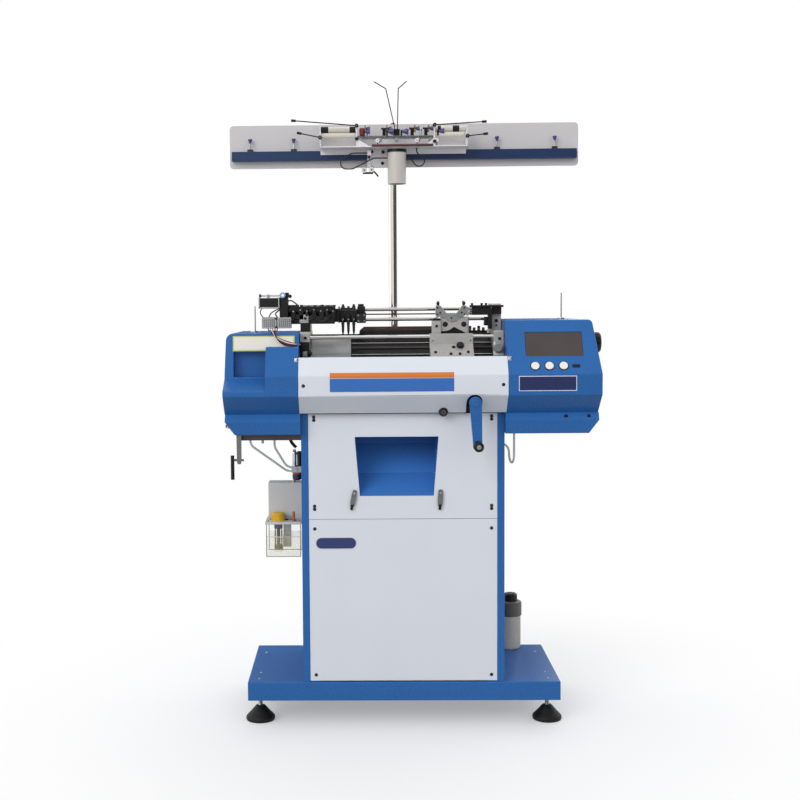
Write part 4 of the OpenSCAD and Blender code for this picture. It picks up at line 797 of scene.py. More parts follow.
class KNITTING_OT_hoses(bpy.types.Operator):
    """Hang the clear oil and air hoses and the lamp's and the sensor's black cables"""

    bl_idname = "knitting.hoses"
    bl_label = "Hoses and cables"

    HOSES = {
        "hose_long": [(-458, -152, 861.9), (-458, -152, 842), (-352, -60, 750), (-330.1, -60, 750)],
        "hose_short": [(-388, -104, 861.9), (-388, -104, 830), (-352, -60, 761), (-330.1, -60, 761)],
        "hose_loop": [(340, -125, 879.9), (340, -125, 777.5), (331, -68, 777.5), (331, -68, 834),
                      (302.1, -68, 834)],
    }
    CABLES = {
        "lamp_cable": [(21.6, 0, 1711), (34, 0, 1711), (53, 0, 1686), (78, 0, 1686), (78, 0, 1713),
                       (54, 0, 1725), (54, 0, 1741.9)],
        "sensor_cable": [(-35.6, 0, 1712), (-78, 0, 1712), (-143, 0, 1680), (-180, 0, 1680), (-180, 0, 1712),
                         (-143, 0, 1728), (-98.1, 0, 1728)],
    }

    # Radius of the bends in millimetres and steps in each bend.
    HOSE_BEND = (28.2, 8)
    CABLE_BEND = (16, 6)

    def execute(self, context):
        for name, path in self.HOSES.items():
            route = bent(path, *self.HOSE_BEND)
            self.lay(name, route, sizes().hose_diameter, hose_vinyl(), "medium", "hose_plastic")
        for name, path in self.CABLES.items():
            route = bent(path, *self.CABLE_BEND)
            self.lay(name, route, sizes().cable_diameter, cable_vinyl(), "limp", "black_plastic")
        return {"FINISHED"}

    def lay(self, name, route, diameter, material, stiffness, slot):
        """A cord along a route, with both ends in the machine."""
        cord, spline = round_curve(name, "POLY", diameter, 4)
        spline.points.add(len(route) - 1)
        for knot, point in zip(spline.points, route):
            knot.co = (*at(*point), 1)
        spline.use_smooth = True
        cord.data.materials.append(material)
        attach(cord, "machine")
        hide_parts("oil_hoses")


# Sheet metal


class KNITTING_OT_sheet_metal(bpy.types.Operator):
    """Finish the tray, the cabinet, the chute, the covers and the pans"""

    bl_idname = "knitting.sheet_metal"
    bl_label = "Sheet metal"

    def execute(self, context):
        fold, edge = sizes().fold_radius, sizes().sheet_edge
        blue, white = powder_coat_blue(), powder_coat_white()
        dress("base_tray", blue, "blue_paint", fold)
        for node in ("left_side_panel", "right_side_panel", "rear_panel", "rear_cover"):
            dress(node, blue, "blue_paint", edge)
        # The chute's brighter blue is painted light on the shaded slide.
        dress("glove_chute", powder_coat_chute_lit(), "blue_paint", edge, crease=12)
        for node in ("left_cover", "right_cover", "right_pan"):
            dress(node, blue, "blue_paint", edge * 1.6)
        pan_floor = span_of("right_pan")[0].z
        dress("left_pan", blue, "blue_paint", edge * 1.6,
              others=[(ledge_brown(), lambda spot, normal: spot.z < pan_floor - 1)])
        for node in ("upper_front_panel", "lower_front_panel", "middle_cover"):
            dress(node, white, "white_paint", edge)
        self.fasteners()
        return {"FINISHED"}

    def fasteners(self):
        """Plugs in the right pan, a drain plug on the left one and rivets on the tray."""
        black, zinc = moulded_black(), zinc_steel()
        front = front_of("right_pan") + 5.6
        plugs = [turned("plug", [(0, 2), (5, 2), (6.2, 1), (6.2, -2), (0, -2)], (x, front, 930), black, axis="-Y")
                 for x in (477.7, 544.3)]
        side = span_of("left_pan")[0].x + 12
        plugs += [turned("drain", [(0, 0), (7, 0), (7.5, 1), (7.5, 8), (6, 10), (0, 10)], (side, -190, 903), zinc,
                         axis="-X", steps=6, crease=25),
                  turned("drain_cap", [(0, 9), (4.6, 9), (5, 10), (5, 14), (4, 15), (0, 15)], (side, -190, 903),
                         signal_red(), axis="-X")]
        tray = top_of("base_tray")
        plugs += [turned("rivet", [(0, 1.5), (2.5, 1.2), (3.8, 0.3), (3.8, -1), (0, -1)], (x, y, tray), zinc, steps=20)
                  for x in (-437, 437) for y in (-178, -109.5, 122)]
        hand_over("sheet_fasteners", plugs, "machine", "black_plastic")


class KNITTING_OT_feet(bpy.types.Operator):
    """Turn the levelling feet: rubber cup, threaded stud and lock nut"""

    bl_idname = "knitting.feet"
    bl_label = "Levelling feet"

    def execute(self, context):
        cup = 44
        corner = span_of("levelling_feet")[1]
        place = (corner.x - cup, corner.y - cup, 0)
        rubber = turned("cup", [
            (0, 0), (39, 0), (42.5, 1.5), (cup, 5), (cup, 11), (43, 13.5), (33, 24), (31, 25), (30, 27),
            (17, 42), (14, 45), (0, 45)
        ], place, foot_rubber(), steps=48)
        thread = [(0, 44)]
        for k in range(17):
            thread += [(6.2, 45 + 4 * k), (7, 47 + 4 * k)]
        stud = turned("stud", thread + [(5, 114), (0, 114)], place, zinc_steel(), steps=24, crease=25)
        nut = turned("nut", barrel(12.6, 62, 73, 1.6, 1.5), place, zinc_steel(), steps=6, crease=25)
        across, back = -2 * place[0], -2 * place[1]
        moves = [(across, 0, 0), (0, back, 0), (across, back, 0)]
        every = [one for part in (rubber, stud, nut) for one in copies(part, moves)]
        stand_in("levelling_feet", every, "foot_rubber")
        return {"FINISHED"}


class KNITTING_OT_screws(bpy.types.Operator):
    """Put cross-head screws on the panels and the middle cover, and turn the latch pins"""

    bl_idname = "knitting.screws"
    bl_label = "Panel screws"

    def execute(self, context):
        # The first screw is the highest one on the left edge of the panels.
        side, front, top = 263.5, front_of("upper_front_panel"), 930
        screw = turned("screw", [
            (0, 2.6), (1.2, 2.6), (3.4, 2.2), (4.7, 1.4), (5.2, 0.4), (5.2, 0), (2.4, 0), (2.4, -6), (0, -6)
        ], (-side, front, top), black_oxide(), axis="-Y", steps=20)
        # Black bars on each head paint the shade in its cross recess.
        recess_shades = [block("slot", (-side - a, front - 3, top - b), (-side + a, front - 2.2, top + b), moulded_black(), 0.1)
                 for a, b in ((2.2, 0.45), (0.45, 2.2))]
        pick(screw, *recess_shades)
        bpy.ops.object.join()
        moves = [(s * side + side, 0, z - top) for s in (-1, 1) for z in (top, 921, 663, 654, 595, 151)]
        # Two more hold the middle cover, which stands before the panels.
        moves += [(s * 290 + side, front_of("middle_cover") - front, 98) for s in (-1, 1)]
        every = copies(screw, [move for move in moves if Vector(move).length > 1])
        back = span_of("rear_panel")[1].y
        every += [turned("rear_screw", [(0, 2.4), (3, 2.1), (4.4, 1.2), (4.8, 0), (2.4, -0.5), (2.4, -3), (0, -3)],
                         (x, back, z), black_oxide(), axis="Y", steps=20)
                  for x in (-262, 262) for z in (160, 420, 680, 915)]
        pins = [turned("pin", [(0, 3.5), (3.5, 3), (4, 2), (4, 0), (2.5, 0), (2.5, -9), (0, -9)],
                       (pivot.x, pivot.y - 3.5, pivot.z), zinc_steel(), axis="-Y", steps=20)
                for pivot in (pivot_of("left_latch_swing"), pivot_of("right_latch_swing"))]
        stand_in("panel_screws", every + pins, "bare_steel")
        return {"FINISHED"}


# Console and controls


class KNITTING_OT_console(bpy.types.Operator):
    """Finish the console: screen, push buttons, port, stop button and side hand wheel"""

    bl_idname = "knitting.console"
    bl_label = "Console"

    def execute(self, context):
        edge = sizes().machined_edge
        outward = Vector((0, -math.cos(CONSOLE_TILT), math.sin(CONSOLE_TILT)))

        def pane(spot, normal):
            return normal.dot(outward) > 0.99 and spot.z > 1100 and spot.y < -230

        panel = skin("display_panel", moulded_black(), edge, others=[(screen_glass(), pane)])
        with editing(panel, pane):
            bpy.ops.mesh.inset(thickness=0.003, depth=-0.0008)
        for face in panel.data.polygons:
            if pane((face.center - MIDDLE) * 1000, face.normal) and not face.select:
                face.material_index = 0
        stand_in("display_panel", [panel], "black_plastic")
        for node in ("left_button", "middle_button", "right_button"):
            dress(node, moulded_white(), "white_plastic", edge * 2, rounds=3)
            # The collar sits on the console's face, this far out from the button's middle.
            seat = spot_on(node) + outward * 2.6
            collar = turned("collar", [
                (12.5, -0.2), (14.6, -0.2), (14.6, 0.6), (14.0, 1.2), (12.9, 1.2), (12.5, 0.8), (12.5, -0.2)
            ], seat, moulded_black(), axis=(math.pi / 2 - CONSOLE_TILT, 0, 0))
            hand_over(node + "_collar", [collar], "machine", "black_plastic")
        dress("stop_button", moulded_black(), "black_plastic", edge * 2, rounds=3)
        # A grey ring on the black stop button is a painted highlight.
        ring = turned("ring", [(3.5, 0), (3.5, 0.8), (5.6, 0.8), (6.2, 0)], spot_on("stop_button", y=0),
                      pressed_steel(), axis="-Y")
        hand_over("stop_button_ring", [ring], BODY_OF["stop_button"], "black_plastic")
        self.wheel()
        return {"FINISHED"}

    def wheel(self):
        """A moulded wheel with finger flutes round its rim and a dished outer face."""
        low, high = span_of("hand_wheel")
        place = (0, *spot_on("hand_wheel").yz)
        width = 24
        inner = high.x - width
        section = ((0, 0), (28, 0), (30, 1), (31, 4), (31, 17), (29.5, 21), (26, width), (20, width), (17, 20.5),
                   (8, 20.5), (7, 22.5), (0, 22.5))
        wheel = turned("wheel", [(radius, inner + height) for radius, height in section], place, moulded_black(),
                       axis="X", steps=48)

        def flute(spot, normal):
            turn = math.degrees(math.atan2(normal.z, normal.y)) % 30
            return abs(normal.x) < 0.2 and math.hypot(spot.y - place[1], spot.z - place[2]) > 30 and turn < 7.5

        with editing(wheel, flute):
            bpy.ops.mesh.inset(thickness=0.0006, depth=-0.0015)
        shaft = turned("shaft", bar(8, low.x, inner + 1), place, ground_steel(), axis="X", steps=24)
        stand_in("hand_wheel", [smooth(wheel), shaft], "black_plastic")


# Knitting head


class KNITTING_OT_needle_beds(bpy.types.Operator):
    """Finish the needle beds, lay the needles into their grooves and cover the left end with a sheet"""

    bl_idname = "knitting.needle_beds"
    bl_label = "Needle beds"

    def execute(self, context):
        edge = sizes().machined_edge

        def strip(spot, normal):
            y, z = BED_RIDGE
            return (y - spot.y) * math.sin(BED_SLOPE) + (spot.z - z) * math.cos(BED_SLOPE) > 1

        dress("front_needle_bed", blued_steel(), "bed_steel", edge * 0.5, others=[(oiled_iron(), strip)])
        dress("rear_needle_bed", blued_steel(), "bed_steel", edge, others=[
            (comb_brown(), lambda spot, normal: spot.z > 1173)])
        dress("head_frame", oiled_iron(), "dark_casting", sizes().cast_edge)
        self.needles()
        sheet = ribbon("sheet", -272, -152, [front_bed(26, 3.7), front_bed(117, 3.7)], 1, milled_grey())
        catch = block("catch", (-150, *front_bed(84, 0.2)), (-132, *front_bed(78, 5)), moulded_black(), 0.4)
        hand_over("bed_sheet", [sheet, catch], "machine", "bare_steel")
        self.gripper()
        return {"FINISHED"}

    def gripper(self):
        """Row of small yarn grippers on the rear bed's ridge, beside the comb."""
        black, iron, steel = moulded_black(), black_oxide(), ground_steel()
        ridge = -40
        parts = [block("rest", (194, ridge - 3, 1164), (266, ridge + 13, 1180), comb_brown(), 0.8)]
        for k, x in enumerate((197, 210, 223, 237, 251)):
            tip = 1189 + 5 * (k % 2)
            parts += [
                block("hook", (x, ridge - 5, 1176), (x + 8, ridge + 9, tip), (black, iron)[k % 2], 0.8),
                cap_screw((x + 4, ridge - 5, 1183), 2.2, "-Y", steel),
            ]
        hand_over("yarn_gripper", parts, "machine", "bed_steel")

    def needles(self):
        """A row of needles, made as an array of one, with the wires that hold them and a dark strip under the comb."""
        half = sizes().needle_width * 500
        first = -126
        pitch = 0.006
        stem = ribbon("needle", first - half, first + half, [
            front_bed(-4, 0.4), front_bed(-2, -0.6), front_bed(34, -0.6), front_bed(35, 3.4), front_bed(40, 3.4),
            front_bed(41, -0.6), front_bed(50, -0.6)], 1.2, blued_steel())
        row = stem.modifiers.new("row", "ARRAY")
        row.count = sizes().needles
        row.use_relative_offset = False
        row.use_constant_offset = True
        row.constant_offset_displace = (pitch, 0, 0)
        pick(stem)
        bpy.ops.object.modifier_apply(modifier=row.name)
        wires = [wire("band", [(-150, *front_bed(along, 1.2)), (272, *front_bed(along, 1.2))], 3, ground_steel())
                 for along in (44.5, 97)]
        # A blackened strip along the comb's lower half: painted shade of the gap under the comb, over the needle row
        # there.
        comb_shade = block("comb_shoe", (-124, -47, 1165), (124, -43.5, 1183), black_oxide(), 0.5)
        hand_over("needles", [stem, *wires, comb_shade], "machine", "bare_steel")


class KNITTING_OT_rods(bpy.types.Operator):
    """Finish the end blocks with their screws and cheeks, and the rails and rods between them"""

    bl_idname = "knitting.rods"
    bl_label = "End blocks and rods"

    def execute(self, context):
        dress("end_blocks", cast_aluminium(), "cast_metal", sizes().cast_edge)
        # Height of the thin carrier rod, the only dark one.
        thin_rod = 1232
        dress("guide_rods", chrome_plate(), "chrome_plate", sizes().machined_edge, others=[
            (blued_steel(), lambda spot, normal: abs(spot.z - thin_rod) < 5)])
        black, grey, white = moulded_black(), milled_grey(), moulded_white()
        front = front_of("end_blocks")
        left = [
            block("clamp", (-306, -131.5, 1208), (-279, -127.2, 1233), grey, 1),
            cap_screw((-289, -131.5, 1222), 4, "-Y", black),
            block("cheek", (-303, front - 3, 1103), (-275, front, 1152), black, 1),
            cap_screw((-288, front, 1164), 4.5, "-Y", black),
            block("foot", (-296, front - 6, 1108), (-282, front - 3, 1124), grey, 1),
            turned("stop", [(0, 9), (4, 8.5), (7, 6), (7.5, 3), (6, 0), (0, 0)], (-277, front - 3, 1118), black,
                   axis="X"),
        ]
        hand_over("left_block_fittings", left, "machine", "black_plastic")
        right = [
            block("rack", (207, -127, 1228), (273.5, -99, 1249), black, 1),
            block("rack_arm", (262, -124, 1186), (273.5, -99, 1228), black, 1.5),
            block("rack_knee", (250, -122, 1196), (262, -102, 1222), black, 2),
            block("rack_seat", (274, -112, 1230), (303, -95, 1257), black, 1),
            block("top_bar", (207, -126, 1251), (308, -104, 1257.5), black, 1),
            block("web", (214, -118, 1248), (270, -108, 1252), black, 0.5),
            cap_screw((289, -95, 1210), 5, "-Y", black),
            cap_screw((289, -95, 1196), 3, "-Y", black),
            cap_screw((291, front, 1158), 4.5, "-Y", black),
            block("bracket", (273, front - 3, 1114), (279, front, 1148), white, 0.8),
            block("bracket_foot", (273, front - 3, 1108), (303, front, 1115), white, 0.8),
            turned("cylinder", barrel(13, 0, 23, 1, 1), (284, front, 1131), grey, axis="-Y"),
        ]
        right += [turned("top_knob", [(0, 0), (3, 0), (3.5, 2), (4, 4), (3.4, 6), (0, 6.6)], (x, -115, 1257.5), black,
                         steps=20) for x in (214, 243, 256)]
        hand_over("right_block_fittings", right, "machine", "black_plastic")
        return {"FINISHED"}


class KNITTING_OT_carriage(bpy.types.Operator):
    """Finish the cam carriage and model its bridge, with knobs, screws, stops and comb teeth"""

    bl_idname = "knitting.carriage"
    bl_label = "Cam carriage"

    # Outlines (x, z) of the bridge's two front plates.
    FORK = ((102.9, 1258.5), (116.2, 1257.7), (123.2, 1250.2), (134.9, 1235.6), (145.6, 1233.4), (157.3, 1233.3),
            (164.8, 1235.3), (175.5, 1247.2), (180.2, 1255.7), (194.3, 1257.1), (196.4, 1247.0), (193.0, 1232.5),
            (187.2, 1223.6), (174.4, 1222.0), (163.0, 1211.4), (151.1, 1209.0), (139.6, 1213.3), (132.7, 1219.8),
            (124.2, 1222.0), (111.4, 1224.3), (102.8, 1224.8), (101.4, 1239.7))
    WEB = ((117, 1224), (199.9, 1224), (202.0, 1211.0), (200.7, 1174), (191.9, 1174.3), (182.3, 1180.8),
           (173.7, 1184.4), (165.2, 1189.2), (158.7, 1193.1), (153.4, 1189.8), (145.9, 1184.7), (137.3, 1181.3),
           (122.3, 1180.2), (117, 1180))

    def execute(self, context):
        self.box()
        self.bridge()
        return {"FINISHED"}

    def box(self):
        """The cam box; its front top is milled lower, down to the wall over the rail."""
        lowering = 0.0105
        box = skin("cam_carriage", cast_aluminium(), sizes().cast_edge, rounds=3)
        with editing(box, lambda spot, normal: spot.z > 1181 and spot.y < -100):
            bpy.ops.transform.translate(value=(0, 0, -lowering))
        stand_in("cam_carriage", [box], "cast_metal")
        black, steel = moulded_black(), ground_steel()
        normal = (BED_SLOPE, 0, 0)

        # The sloping front plate lies this far above the bed's face, and at this height over the bed's ridge.
        proud, ridge = 36, 1200.06

        def on_plate(x, z):
            return (x, *front_bed((ridge - z) / math.sin(BED_SLOPE), proud))

        parts = [
            turned("knob", [(0, 11), (7, 11), (10, 9.5), (11.5, 6), (11.5, 3), (9, 0), (0, 0)],
                   on_plate(173.6, 1135.5), black, axis=normal),
            turned("boss", [(0, 2.5), (4.5, 2.5), (5.5, 1.5), (5.5, 0), (0, 0)], on_plate(154, 1133.5), black,
                   axis=normal),
        ]
        parts += [cap_screw(on_plate(x, z), 4.2, normal, black)
                  for x, z in ((99.6, 1118.7), (144.4, 1114), (171.2, 1114), (196, 1118.7))]
        parts += [cap_screw(on_plate(x, z), 2.4, normal, steel) for x, z in ((120, 1116), (158, 1113), (185, 1113))]
        parts += [cap_screw((x, -168, 1154), 2.6, "-Y", steel) for x in (93, 204)]
        hand_over("cam_box_fittings", parts, "carriage", "black_plastic")

    def bridge(self):
        """A forked front plate before a web with two round stops, and two arms over the yarn rods."""
        black, light, grey, dark = moulded_black(), milled_grey(), cast_aluminium(), black_oxide()
        parts = [
            cut_plate("fork", self.FORK, -147, -140, light, 1),
            cut_plate("web", self.WEB, -141, -134, grey, 0.6),
            # A black block behind the web paints the shade in the hollow under it.
            block("hollow", (119, -135, 1173), (200, -129, 1196), black, 0.5),
            block("left_box", (91, -150, 1173), (118, -132, 1212), grey, 1.2),
            block("left_box_roof", (93, -149, 1212), (117, -134, 1219), black, 1),
            block("right_rib", (195, -148, 1173), (202, -134, 1223), light, 1.5),
            block("comb_root", (194, -140, 1226), (202, -134, 1253), grey, 0.8),
        ]
        # Each arm slants by this much to its rear leg.
        slant = 13
        for side in (109.5, 187):
            arm = block("arm", (side - 3, -142, 1266), (side + 3, 54, 1271), dark, 0.8)
            with editing(arm, lambda spot, normal: spot.y > 52):
                bpy.ops.transform.translate(value=(slant / 1000, 0, 0))
            parts += [
                arm,
                block("lug", (side - 3, -143, 1252), (side + 3, -137, 1270), light, 0.8),
                block("rear_leg", (side + slant - 3, 42, 1182), (side + slant + 3, 54, 1271), light, 0.8),
                ball((side, -147, 1263.5), 5.2, black),
            ]
        parts += [turned("stop", [(0, 2), (4, 2.8), (7, 2.4), (7.8, 1.2), (7.8, -1), (0, -1)], (x, -141, 1201), black,
                         axis="-Y") for x in (131.5, 187)]
        spots = ((116.1, 1236.2), (107.6, 1231.1), (180.2, 1235.2), (189.6, 1230.4), (149.5, 1220), (108, 1250),
                 (188, 1250))
        parts += front_screws(-147, spots, 2.6, black)
        parts += [cap_screw((104.9, -150, 1196), 4, "-Y", black)]
        parts += [block("tooth", (200, -140, z), (212, -134, z + 3), light, 0.5) for z in range(1229, 1252, 6)]
        stand_in("carriage_bridge", parts, "cast_metal")


class KNITTING_OT_yarn_feed(bpy.types.Operator):
    """Finish the yarn carrier, the feeder rack, and the feeder drive with its coil, sensor and leads"""

    bl_idname = "knitting.yarn_feed"
    bl_label = "Yarn feed"

    def execute(self, context):
        self.drive()
        self.rack()
        self.carriers()
        return {"FINISHED"}

    def drive(self):
        """The feeder's coil, rod and switch over two vented boxes, with their leads."""
        black, grey, steel = moulded_black(), milled_grey(), ground_steel()
        parts = [
            block("coil", (-424, -147, 1257), (-369, -115, 1283), black, 1.5),
            block("coil_flange", (-428, -149, 1252), (-366, -113, 1257), grey, 0.8),
            block("coil_top", (-426, -148, 1283), (-367, -114, 1285), grey, 0.6),
            *[block("coil_end", (x, -149, 1253), (x + 4, -113, 1286), grey, 0.8) for x in (-428, -369)],
            turned("rod", bar(2.5, 0, 58), (-424, -128, 1291), steel, axis="X", steps=16),
            turned("rod_knob", [(0, -5), (4, -5), (5.5, -3), (5, 0), (3, 3), (0, 3)], (-423, -128, 1291),
                   moulded_purple(), axis="X", steps=20),
            block("rod_rest", (-404, -132, 1284), (-396, -124, 1295), grey, 0.6),
            turned("ring", [(4, -3), (8, -3), (9, -2), (9, 3), (8, 4), (4, 4), (4, -3)], (-356, -141, 1292),
                   anodised_blue(), axis="-Y"),
            block("switch", (-365, -139, 1260), (-340, -103, 1286), black, 1.5),
            block("switch_top", (-350, -136, 1286), (-338, -106, 1300), black, 1.5),
            ball((-334, -130, 1289), 5.5, black),
            block("box", (-418, -165, 1193), (-373, -130, 1227), grey, 1),
            block("box", (-371, -164, 1193), (-330, -130, 1226), grey, 1),
            block("link", (-352, -131, 1207), (-332, -127, 1225), black, 1),
            block("box_lug", (-366, -138, 1226), (-340, -112, 1261), black, 1.5),
        ]
        # Small black squares on each box's front paint the shade in its vent holes.
        for first, front in ((-412, -165.4), (-366, -164.4)):
            parts += [block("vent", (x, front, z), (x + 3, front + 0.6, z + 3), black, 0.1, 1)
                      for x in range(first, first + 36, 6) for z in range(1199, 1223, 6)]
        parts += front_screws(-165, ((-375.5, 1222), (-375.5, 1197)), 3, black)
        parts += [
            wire("lead", [(-419, -130, 1254), (-424, -134, 1243), (-420, -140, 1232), (-414, -142, 1226)], 3,
                 cable_vinyl()),
            wire("lead", [(-364, -128, 1254), (-380, -132, 1246), (-392, -134, 1238), (-398, -138, 1226)], 3.5,
                 cable_vinyl()),
        ]
        for k, material in enumerate((cable_vinyl(), moulded_white(), signal_red(), cable_vinyl(), cable_vinyl())):
            parts.append(wire("lead", [
                (-400 + 7 * k, -150, 1195), (-396 + 6 * k, -176, 1187), (-388 + 3 * k, -206, 1186 - k),
                (-378 + 2 * k, -216 - k, 1174 - 2 * k), (-352, -218 - k, 1160 - 3 * k),
                (-322, -214 - k, 1150 - 2 * k), (-308, -200 - k, 1147 - k), (-303 + k, -172, 1146 - 2 * k)
            ], 3.4, material))
        stand_in("feeder_drive", parts, "bare_steel")

    def rack(self):
        """Two black bars held apart by ribs, with catches, strips and leads; all stays clear of the carriage."""
        black, steel, iron = moulded_black(), ground_steel(), black_oxide()
        parts = [
            block("upper_bar", (-352, -127, 1242), (-198, -101, 1258), black, 1.2),
            block("lower_bar", (-350, -125, 1205), (-200, -103, 1219), black, 1.2),
            # This black block under the rack's left end paints the dark gap in the end block as painted shade.
            block("post", (-304, -127, 1182), (-274, -99, 1208), black, 1),
            block("back_plate", (-352, -106, 1210), (-187, -101, 1250), black, 0.8),
            block("strip", (-304, -118, 1257.5), (-200, -106, 1262), steel, 0.5),
            block("rear_strip", (-350, -122, 1257.5), (-308, -104, 1263), iron, 0.8),
        ]
        for k, x in enumerate((-352, -330, -309, -289, -268, -247, -228, -210)):
            wide = 7 + 3 * (k % 3)
            front = -130 if x > -276 else -131.5
            odd, third = k % 2, k % 3
            parts += [
                block("rib", (x, -124, 1217), (x + wide, -102 - 3 * odd, 1244), black, 0.8),
                block("catch", (x + 1, front, 1228 - 5 * third), (x + wide + 2, -122, 1255 - 4 * odd), black, 0.8),
                cap_screw((x + 5, front, 1247 - 4 * odd), 2.4, "-Y", steel),
                block("top_catch", (x + 4, -122 + 3 * odd, 1257), (x + 13, -108, 1261 + third), iron, 0.6),
            ]
        lowest = ((-356, -124, 1222), (-336, -128, 1216), (-316, -127, 1222), (-290, -128, 1214),
                  (-262, -126.5, 1220), (-240, -127.5, 1212), (-216, -125, 1222), (-203, -116, 1230))
        for rise in (0, 7, 3, 10):
            parts.append(wire("lead", [(x, y, z + rise) for x, y, z in lowest], 4, cable_vinyl()))
        parts.append(wire("loop", [(-345, -110, 1262), (-342, -112, 1272), (-334, -114, 1276), (-322, -112, 1270),
                                   (-312, -110, 1262)], 4, cable_vinyl()))
        parts.append(wire("loop", [(-362, -120, 1252), (-372, -126, 1244), (-378, -134, 1236), (-372, -140, 1226)], 4,
                          cable_vinyl()))
        stand_in("feeder_rack", parts, "black_plastic")

    def carriers(self):
        """Three yarn carriers side by side and their driver, each clamped on the rods, low enough for the bridge."""
        black, steel, iron = moulded_black(), ground_steel(), black_oxide()
        parts = [
            block("link", (-190, -30, 1224), (-105, -10, 1238), black, 1),
            block("link_low", (-188, -66, 1208), (-106, -54, 1226), black, 1),
            block("driver", (-134, -92, 1206), (-107, -6, 1226), black, 1.5),
            block("driver_top", (-132, -62, 1226), (-108, -6, 1257), black, 1.5),
            block("driver_plate", (-134, -95.5, 1207), (-106, -91, 1234), iron, 0.6),
            block("end_plate", (-190, -70, 1207), (-186, -6, 1257), iron, 0.6),
            block("body", (-188, -82, 1213), (-132, -44, 1246), black, 1.5),
            block("body_top", (-184, -60, 1244), (-140, -30, 1253), iron, 1),
            block("driver_coil", (-130, -50, 1256.5), (-112, -14, 1264), black, 1),
        ]
        parts += [cap_screw((x, -95.5, z), 2.6, "-Y", steel) for x in (-129, -111) for z in (1212, 1229)]
        for k in range(3):
            x = -176 + 16.5 * k
            top = 1258 - 6 * (k % 2)
            parts += [
                block("arm", (x - 4.5, -96, 1205), (x + 4.5, -84, 1226 + 6 * (k % 2)), black, 1),
                block("clamp", (x - 5.5, -90, 1209), (x + 5.5, -8, 1225), black, 1),
                block("clamp_top", (x - 5.5, -46 + 6 * k, 1222), (x + 5.5, -8, top), black, 1),
                cap_screw((x, -96, 1217), 2.6, "-Y", steel),
                turned("stud", [(0, 0), (3, 0), (3.8, 1.5), (3.8, 5), (3, 6), (0, 6)], (x, -28, top - 0.2), iron,
                       steps=16),
                turned("finger", [(0, 0), (1.6, 0), (3, 6), (3.8, 10), (4.6, 30), (5.2, 31), (5.2, 35), (0, 35)],
                       (x, -90, 1172), iron, steps=16),
            ]
        stand_in("yarn_carrier", parts, "black_plastic")


# Yarn rail and tension


class KNITTING_OT_yarn_rail(bpy.types.Operator):
    """Finish the post, the rail panel, the channel, the yarn guides and the lamps"""

    bl_idname = "knitting.yarn_rail"
    bl_label = "Yarn rail"

    def execute(self, context):
        edge = sizes().machined_edge
        dress("yarn_post", chrome_plate(), "chrome_plate", edge)
        dress("rail_panel", powder_coat_rail(), "white_paint", edge)
        dress("rail_channel", powder_coat_navy(), "blue_paint", edge)
        dress("cone_spindles", ground_steel(), "chrome_plate", edge)
        self.guides()
        self.signal()
        self.work_lamp()
        return {"FINISHED"}

    def guides(self):
        """Yarn guides on the channel: a nut, a stem and a flared head."""
        x, y, z = spot_on("guide_posts", x=0, z=0) + Vector((9, 0, 0))
        guide = [
            turned("nut", barrel(9, 0, 8, 1, 1), (x, y, z), oiled_iron(), steps=6, crease=25),
            turned("stem", bar(2.5, 8, 28), (x, y, z), ground_steel(), steps=20),
            turned("head", [(0, 26), (3, 26), (3.6, 30), (6.2, 36), (6.5, 38), (6, 40), (3, 39.4), (0, 38.6)],
                   (x, y, z), moulded_purple(), steps=28),
        ]
        moves = [(other - x, 0, 0) for other in (-326.9, -186, 131, 306.1, 485)]
        every = [one for part in guide for one in copies(part, moves)]
        stand_in("guide_posts", every, "purple_plastic")

    def signal(self):
        """The signal lamp: a black base under a red dome."""
        place = spot_on("alarm_lamp", z=0)
        base = turned("base", [(0, 0), (13.5, 0), (14, 1), (14, 18), (13, 20), (11.5, 22), (0, 22)], place,
                      moulded_black())
        rings = [(11, 22), (11, 30)]
        dome = [(11 * math.cos(math.radians(a)), 30 + 11 * math.sin(math.radians(a))) for a in range(10, 91, 10)]
        lens = turned("lens", [(0, 21), *rings, *dome], place, signal_red())
        stand_in("alarm_lamp", [base, lens], "red_plastic")

    def work_lamp(self):
        """A cup-shaped shade with a black ring round it and a milky lens in it."""
        place = spot_on("work_lamp", z=0)
        shade = turned("shade", [
            (25.5, 0), (27.5, 0), (28.5, 1), (28.5, 98), (28.2, 98.6), (28.5, 99.2), (28.5, 109), (27.5, 110),
            (0, 110), (0, 107), (25.5, 106), (25.5, 14), (25.5, 0)], place, lamp_enamel(), steps=48)
        ring = turned("ring", [(28, 96), (29, 96), (29.4, 97), (29.4, 105), (29, 106), (28, 106), (28, 96)], place,
                      moulded_black(), steps=48)
        lens = turned("lens", [(0, 12), (20, 12.5), (25.6, 14), (25.6, 16), (0, 16)], place, bottle_polyethylene())
        stand_in("work_lamp", [shade, ring, lens], "white_plastic")


